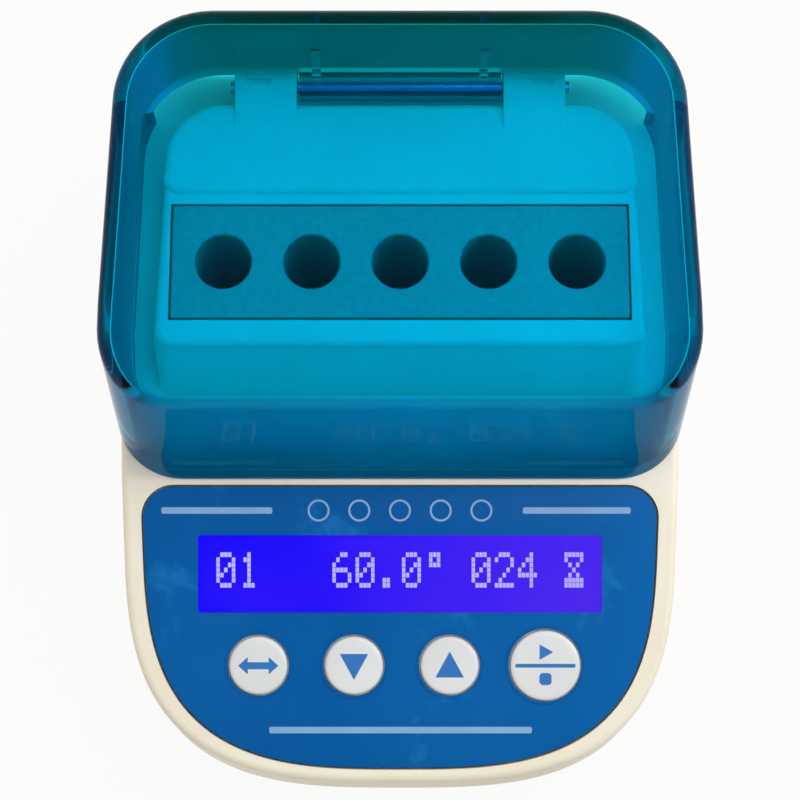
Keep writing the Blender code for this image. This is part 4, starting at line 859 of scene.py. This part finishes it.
def buildKeypadSheet():
    top = -panel["sink"]
    low = top - panel["thickness"]
    bm = prism(panelOutline(0.3), low, top)
    roundEdges(bm, 0.12, 2)
    sheet = makeObject("keypadSheet", bm, onConsole)
    holes = prism(windowOutline(0.1), low - 1, top + 1)
    for x, radius, _ in keys.values():
        hole = rod(radius + keyShape["holeGap"], low - 1, top + 1)
        addTurned(hole, (x, panel["keyAlong"], 0), bm=holes)
    combine(sheet, (cut, "holes", holes, onConsole))
    dress(sheet, "case", "panelFilm", ["keypad_overlay"])
    beads = bmesh.new()
    for x, radius, _ in keys.values():
        radius += keyShape["beadGap"]
        outer = radius + keyShape["beadWidth"]
        middle = (radius + outer) / 2
        rise = top + keyShape["beadRise"]
        profile = [(radius, top - 0.05), (radius, top + 0.02), (middle - 0.08, rise), (middle + 0.08, rise),
                   (outer, top + 0.02), (outer, top - 0.05), (radius, top - 0.05)]
        addTurned(profile, (x, panel["keyAlong"], 0), bm=beads)
    dress(makeObject("keyBeads", beads, onConsole), "case", "panelFilm")
    pane = prism(windowOutline(0), low, top)
    roundEdges(pane, 0.06, 1)
    dress(makeObject("displayPane", pane, onConsole), "case", "clearPane",
          ["display_window"])


def buildPrint():
    low = -panel["sink"] - 0.01
    high = -panel["sink"] + printed["rise"]
    bm = bmesh.new()
    for left, right, along in printed["rules"]:
        prism(barOutline(left, right, along, printed["ruleThickness"]), low, high, bm)
    for index in range(printed["ringCount"]):
        x = (index - (printed["ringCount"] - 1) / 2) * printed["ringPitch"]
        ring = band(printed["ringRadius"], printed["ringLine"], low, high)
        addTurned(ring, (x, printed["ringAlong"], 0), detail["ring"], bm)
    dress(makeObject("printedRules", bm, onConsole), "case", "ruleInk", smooth=0)


def buildKeys():
    for node, (x, radius, ride) in keys.items():
        height = keyShape["height"]
        flat = radius * keyShape["flatShare"]
        profile = [
            (0, height), (flat * 0.5, height), (flat, height - 0.01), (radius * 0.90, height - 0.05),
            (radius * 0.95, height - 0.13), (radius * 0.985, height - 0.26), (radius, -0.05),
            (radius, keyShape["shoulder"]), (radius + keyShape["flange"], keyShape["shoulder"]),
            (radius + keyShape["flange"], keyShape["bottom"]), (0, keyShape["bottom"]),
        ]
        bm = addTurned(profile, (x, panel["keyAlong"], 0), detail["fine"])
        cap = makeObject(node.replace("key_", "") + "Key", bm, onConsole)
        dress(cap, ride, "keyFilm", [node])


def arrowMark():
    # A double arrow, drawn as one outline.
    tip, head, half, shaft = 3.25, 1.55, 1.4, 0.57
    right = [(tip - head, -half), (tip, 0), (tip - head, half), (tip - head, shaft)]
    left = [(-x, -y) for x, y in right]
    return [(tip - head, -shaft)] + right + [(head - tip, shaft)] + left


def buildKeyMarks():
    low = keyShape["height"] - 0.02
    high = keyShape["height"] + keyShape["markRise"]
    marks = {
        "key_menu": [arrowMark()],
        "key_down": [[(-2.3, 1.9), (0, -2.3), (2.3, 1.9)]],
        "key_up": [[(-2.3, -1.9), (2.3, -1.9), (0, 2.3)]],
        "key_start": [
            barOutline(-4.85, 4.85, 0, 0.6),
            [(-0.95, 0.95), (1.25, 2.2), (-0.95, 3.45)],
            barOutline(-0.98, 0.98, -2.15, 1.96),
        ],
    }
    for node, outlines in marks.items():
        across, _, ride = keys[node]
        bm = bmesh.new()
        for outline in outlines:
            prism([(x + across, y + panel["keyAlong"]) for x, y in outline], low, high, bm)
        name = node.replace("key_", "") + "Mark"
        dress(makeObject(name, bm, onConsole), ride, "glyphInk", smooth=0)


buildKeypadSheet()
buildPrint()
buildKeys()
buildKeyMarks()
print("keypad made")


# Display: lit face and its dots

display = {
    "face": (66.0, 13.0, 4.0), "faceTop": -0.95, "slab": (68.6, 22.4, 3.6), "slabMiddle": -6.0,
    "dotRise": 0.02, "cellPitch": 3.77, "firstCell": -28.3, "dotPitch": (0.63, 0.83), "dot": (0.55, 0.75),
    "lift": 0.6,
    "shown": {
        0: "0", 1: "1", 5: "6", 6: "0", 7: "point", 8: "0", 9: "degree", 11: "0", 12: "2", 13: "4",
        15: "glass",
    },
}
dotPatterns = {
    "0": "01110 10001 10011 10101 11001 10001 01110",
    "1": "00100 01100 00100 00100 00100 00100 01110",
    "2": "01110 10001 00001 00010 00100 01000 11111",
    "4": "00010 00110 01010 10010 11111 00010 00010",
    "6": "00110 01000 10000 11110 10001 10001 01110",
    "point": "00000 00000 00000 00000 00000 01100 01100",
    "degree": "01110 01010 01110 00000 00000 00000 00000",
    "glass": "11111 10001 01010 00100 01010 11111 11111",
}


def buildDisplay():
    top = display["faceTop"]
    along = panel["windowAlong"]
    face = addBox(display["face"], (0, along, top - display["face"][2] / 2))
    slab = addBox(display["slab"], (0, along, display["slabMiddle"]))
    lit = makeObject("displayFace", face, onConsole)
    combine(lit, (join, "slab", slab, onConsole))
    dress(lit, "case", "displayGlow", ["lcd_glass"], smooth=0)
    dots = bmesh.new()
    pitchX, pitchY = display["dotPitch"]
    for cell, name in display["shown"].items():
        middle = display["firstCell"] + cell * display["cellPitch"]
        for row, line in enumerate(dotPatterns[name].split()):
            for column, lit in enumerate(line):
                if lit == "1":
                    x = middle + (column - 2) * pitchX
                    y = along + display["lift"] + (3 - row) * pitchY
                    addBox((*display["dot"], 2 * display["dotRise"]), (x, y, top), dots)
    dress(makeObject("displayDots", dots, onConsole), "case", "dotGlow",
          smooth=0)


buildDisplay()
print("display made")


# Heating block

def buildBlock():
    size = (block["width"], block["depth"], block["tall"])
    bm = addBox(size, (0, block["y"], block["top"] - block["tall"] / 2))
    roundEdges(bm, block["edge"], 3)
    metal = makeObject("blastedBlock", bm)
    wells = bmesh.new()
    radius = block["wellRadius"]
    lip = block["chamfer"]
    top = block["top"]
    low = top - block["wellDepth"]
    profile = [
        (0, top + 1), (radius + lip + 0.25, top + 1), (radius + lip + 0.25, top + 0.02), (radius + lip, top),
        (radius + lip * 0.45, top - lip * 0.25), (radius + lip * 0.12, top - lip * 0.7),
        (radius, top - lip * 1.3), (radius, low), (0, low - 1.6),
    ]
    for index in range(5):
        addTurned(profile, ((index - 2) * block["wellPitch"], block["y"], 0), detail["fine"], wells)
    combine(metal, (cut, "wells", wells))
    dress(metal, "case", "blastedAluminium", ["heating_block"], smooth=40, even=True)


buildBlock()
print("heating block made")


# Rear fittings

socket = {"radius": 6.2, "thickness": 1.2, "barrel": 5.2, "length": 12.5, "bore": 3.2, "depth": 9.5,
          "contact": 1.0, "lift": 0.1}
switch = {"bezel": (15.0, 10.5, 1.4), "body": (13.2, 8.3, 9.5), "well": (11.8, 7.0, 4.2), "lift": 0.1,
          "pivot": 1.2, "tilt": radians(9), "half": 5.2, "rise": 2.4, "dip": 1.6, "sag": 0.16,
          "foot": (3.0, -2.0), "trunnion": 0.8, "bar": (0.35, 1.7, 0.06), "ring": (0.62, 0.3, -0.03, 0.03)}


def buildSocket():
    matrix = rearMatrix @ Matrix.Translation((-bay["socketX"] * mm, 0, 0))
    face = socket["lift"] + socket["thickness"]
    bottom = face - socket["depth"]
    profile = [
        (0, bottom), (socket["bore"], bottom), (socket["bore"], face - 0.35), (socket["bore"] + 0.35, face),
        (socket["radius"], face), (socket["radius"], socket["lift"]), (socket["barrel"], socket["lift"]),
        (socket["barrel"], -socket["length"]), (0, -socket["length"]),
    ]
    shell = addTurned(roundedProfile(profile, 0.35))
    dress(makeObject("socketShell", shell, matrix), "case", "blackPlastic",
          ["power_socket"])
    profile = roundedProfile(rod(socket["contact"], face - 0.8, bottom - 0.3), 0.6)
    contact = addTurned(profile, steps=detail["small"])
    dress(makeObject("socketContact", contact, matrix), "case", "pinSteel")


def buildSwitch():
    matrix = rearMatrix @ Matrix.Translation((-bay["switchX"] * mm, 0, 0))
    face = switch["lift"] + switch["bezel"][2]
    middle = face - switch["bezel"][2] / 2
    bm = addBox(switch["bezel"], (0, 0, middle))
    roundEdges(bm, 0.45, 4)
    housing = makeObject("switchFrame", bm, matrix)
    stem = addBox(switch["body"], (0, 0, middle - switch["body"][2] / 2))
    width, length, depth = switch["well"]
    low = -depth - switch["lift"]
    well = addBox((width, length, 2 * face - low), (0, 0, (2 * face + low) / 2))
    roundEdges(well, 0.3, 2, lambda edge: abs(edge.verts[0].co.z - edge.verts[1].co.z) > 1)
    across = Matrix.Translation((0, 0, -switch["pivot"] * mm)) @ Matrix.Rotation(pi / 2, 4, "X")
    reach = switch["body"][1]
    holes = addTurned(rod(switch["trunnion"] + 0.3, -reach, reach), steps=detail["tiny"])
    combine(
        housing,
        (join, "stem", stem, matrix),
        (cut, "well", well, matrix),
        (cut, "trunnionHoles", holes, matrix @ across),
    )
    soften(housing)
    dress(housing, "case", "blackPlastic", ["switch_housing"])
    half, rise, dip = switch["half"], switch["rise"], switch["dip"]
    foot, base = switch["foot"]
    outline = [(-half, 0), (-foot, base), (foot, base), (half, 0), (half, rise)]
    for step in range(1, 12):
        # Each face of the rocker is slightly hollow.
        x = half * (1 - step / 6)
        sag = switch["sag"] * sin(pi * abs(x) / half)
        outline.append((x, dip + (rise - dip) * abs(x) / half - sag))
    outline.append((-half, rise))
    tilted = matrix @ across @ Matrix.Rotation(switch["tilt"], 4, "Z")
    thick = switch["well"][1] / 2 - 0.3
    bm = prism(outline, -thick, thick)
    roundEdges(bm, 0.3, 3, sharper=30)
    rocker = makeObject("rockerCap", bm, tilted)
    pins = addTurned(rod(switch["trunnion"], -reach / 2, reach / 2), steps=detail["tiny"])
    combine(rocker, (join, "pins", pins, matrix @ across))
    dress(rocker, "rocker", "blackPlastic", ["switch_rocker"])
    bar = makeObject("onMark", addBox(switch["bar"], (0, 0, 0)), tilted @ faceOf(-1))
    dress(bar, "rocker", "markWhite", smooth=0)
    ring = addTurned(band(*switch["ring"]), steps=40)
    circle = makeObject("offMark", ring, tilted @ faceOf(1))
    dress(circle, "rocker", "markWhite", smooth=0)


def faceOf(side):
    # Stands on one face of the rocker, in its middle, with Z out of that face.
    half, rise, dip = switch["half"], switch["rise"], switch["dip"]
    x = side * half * 0.5
    height = dip + (rise - dip) / 2 - switch["sag"] + 0.02
    slope = side * (rise - dip) / half
    matrix = Matrix.Translation(Vector((x, height, 0)) * mm)
    return matrix @ Matrix.Rotation(slope, 4, "Z") @ Matrix.Rotation(-pi / 2, 4, "X")


buildSocket()
buildSwitch()
print("rear fittings made")


# Feet and case screws

def buildFeet():
    radius = under["footRadius"]
    top = body["bottom"] + under["footSink"] - 0.1
    profile = [(0, 0.35), (radius - 1.5, 0.35), (radius - 1.2, 0), (radius - 0.5, 0), (radius, 0.6),
               (radius, top), (0, top)]
    for index, (x, y) in enumerate(under["feet"], 1):
        bm = addTurned(roundedProfile(profile, 0.3), (x, y, 0))
        dress(makeObject(f"rubberFoot{index}", bm), "case", "softRubber", [f"foot_{index}"])


def buildCaseScrews():
    low = body["bottom"]
    seat = low + 2.0
    core, thread = under["screwCore"], under["screwThread"]
    profile = [(0, low), (1.7, low), (2.7, seat - 1.3), (2.7, seat), (thread, seat)]
    # The thread is a row of ridges.
    for ridge in range(11):
        height = seat + 1.0 + ridge
        profile += [(core, height), (thread, height + 0.35), (thread, height + 0.5), (core, height + 0.85)]
    profile += [(0.7, seat + 12.9), (0, seat + 13.0)]
    length, width, depth = under["cross"]
    for index, (x, y) in enumerate(under["screws"], 1):
        screw = makeObject(f"caseScrew{index}", addTurned(profile, (x, y, 0), detail["small"]))
        combine(
            screw,
            (cut, "cross", addBox((length, width, depth), (x, y, low))),
            (cut, "crossOther", addBox((width, length, depth), (x, y, low))),
        )
        dress(screw, "case", "pinSteel", [f"case_screw_{index}"])


buildFeet()
buildCaseScrews()
print("feet and screws made")


# Inner pieces keep their own shape

slotFinish = {
    "key_white": "markWhite", "aluminium": "blastedAluminium", "steel": "pinSteel",
    "board_green": "boardGreen", "black_plastic": "blackPlastic", "silicone": "padSilicone",
    "foam": "jacketFoam", "wire_red": "redWire",
}
# The keypad backing takes the pale finish whose light line in the gap is a painted highlight.
nodeFinish = {"keypad_backing": "spacerFilmHighlight"}


def dressInnerPieces():
    for part in frame["record"]["subparts"]:
        node = frame["nodes"][part["node"]]
        if node.hide_render:
            continue
        look = nodeFinish.get(part["node"], slotFinish[part["material_slot"]])
        node.data.materials.clear()
        node.data.materials.append(finishes[look])


dressInnerPieces()
print("inner pieces finished")


# Floor, light and camera

studio = {
    "zenith": (0.84, 0.84, 0.83, 1), "horizon": (0.36, 0.325, 0.275, 1),
    "floorWhite": 0.93, "floorColour": (0.62, 0.57, 0.50, 1), "floorSize": 3000,
    "lightAim": Vector((0, 0, 0.03)), "cameraPlace": (0, -0.0892, 0.3788), "cameraTilt": radians(15),
    "lens": 97.2,
}
# Place, size, power and colour of each light.
lights = {
    "softbox": ((0.42, 0.28, 1.35), (1.1, 1.1), 8.0, (1, 1, 1)),
    "rightStrip": ((0.75, 0.10, 0.60), (0.06, 0.5), 3.0, (1, 1, 1)),
    "leftFill": ((-1.2, -0.3, 0.30), (0.6, 0.6), 2.2, (1.0, 0.80, 0.55)),
}


def compute(tree, operation, first, second):
    # The first value is a node's output, the second one too or a number.
    node = addNode(tree, "Math", operation=operation)
    tree.links.new(first, node.inputs[0])
    if isinstance(second, float):
        node.inputs[1].default_value = second
    else:
        tree.links.new(second, node.inputs[1])
    return node.outputs[0]


def showWhere(tree, plain, white, output, most=1.0):
    # White where the background is seen directly, in gloss or through glass, but not
    # where it would light a surface.
    path = addNode(tree, "LightPath").outputs
    share = compute(tree, "MAXIMUM", path["Is Camera Ray"], path["Is Glossy Ray"])
    share = compute(tree, "MAXIMUM", share, path["Is Transmission Ray"])
    direct = compute(tree, "LESS_THAN", path["Diffuse Depth"], 0.5)
    share = compute(tree, "MULTIPLY", compute(tree, "MULTIPLY", share, direct), most)
    mix = addNode(tree, "MixShader")
    tree.links.new(share, mix.inputs["Fac"])
    wire(tree, (plain, 0, mix, 1), (white, 0, mix, 2), (mix, 0, output, "Surface"))


def buildFloor():
    bm = bmesh.new()
    bmesh.ops.create_grid(bm, x_segments=1, y_segments=1, size=studio["floorSize"])
    ground = makeObject("floor", bm)
    material, tree, shader = newMaterial("paleFloor", {
        "Base Color": studio["floorColour"], "Roughness": 0.9, "Specular IOR Level": 0.1,
    })
    glow = addNode(tree, "Emission", {"Color": (1, 1, 1, 1)})
    showWhere(tree, shader, glow, tree.nodes["Material Output"], studio["floorWhite"])
    ground.data.materials.append(material)


def buildWorld():
    world = bpy.data.worlds.new("studio")
    bpy.context.scene.world = world
    world.use_nodes = True
    tree = world.node_tree
    tree.nodes.clear()
    place = addNode(tree, "TexCoord")
    parts = addNode(tree, "SeparateXYZ")
    sky = addNode(tree, "Mix", {"A": studio["horizon"], "B": studio["zenith"]}, data_type="RGBA")
    fill = addNode(tree, "Background")
    wire(
        tree,
        (place, "Generated", parts, 0), (parts, "Z", sky, "Factor"), (sky, "Result", fill, "Color"),
    )
    white = addNode(tree, "Background", {"Color": (1, 1, 1, 1), "Strength": 1})
    showWhere(tree, fill, white, addNode(tree, "OutputWorld"))


def buildLights():
    for name, (place, size, power, colour) in lights.items():
        data = bpy.data.lights.new(name, "AREA")
        data.energy = power
        data.color = colour
        data.shape = "RECTANGLE"
        data.size, data.size_y = size
        lamp = bpy.data.objects.new(name, data)
        lamp.location = place
        away = Vector(place) - studio["lightAim"]
        lamp.rotation_euler = away.to_track_quat("Z", "Y").to_euler()
        bpy.context.scene.collection.objects.link(lamp)


def buildCamera():
    data = bpy.data.cameras.new("camera")
    data.lens = studio["lens"]
    data.clip_start = 0.01
    camera = bpy.data.objects.new("camera", data)
    camera.location = studio["cameraPlace"]
    camera.rotation_euler = (studio["cameraTilt"], 0, 0)
    bpy.context.scene.collection.objects.link(camera)
    bpy.context.scene.camera = camera


buildFloor()
buildWorld()
buildLights()
buildCamera()
bpy.context.scene.view_settings.view_transform = "Standard"
print("studio made")
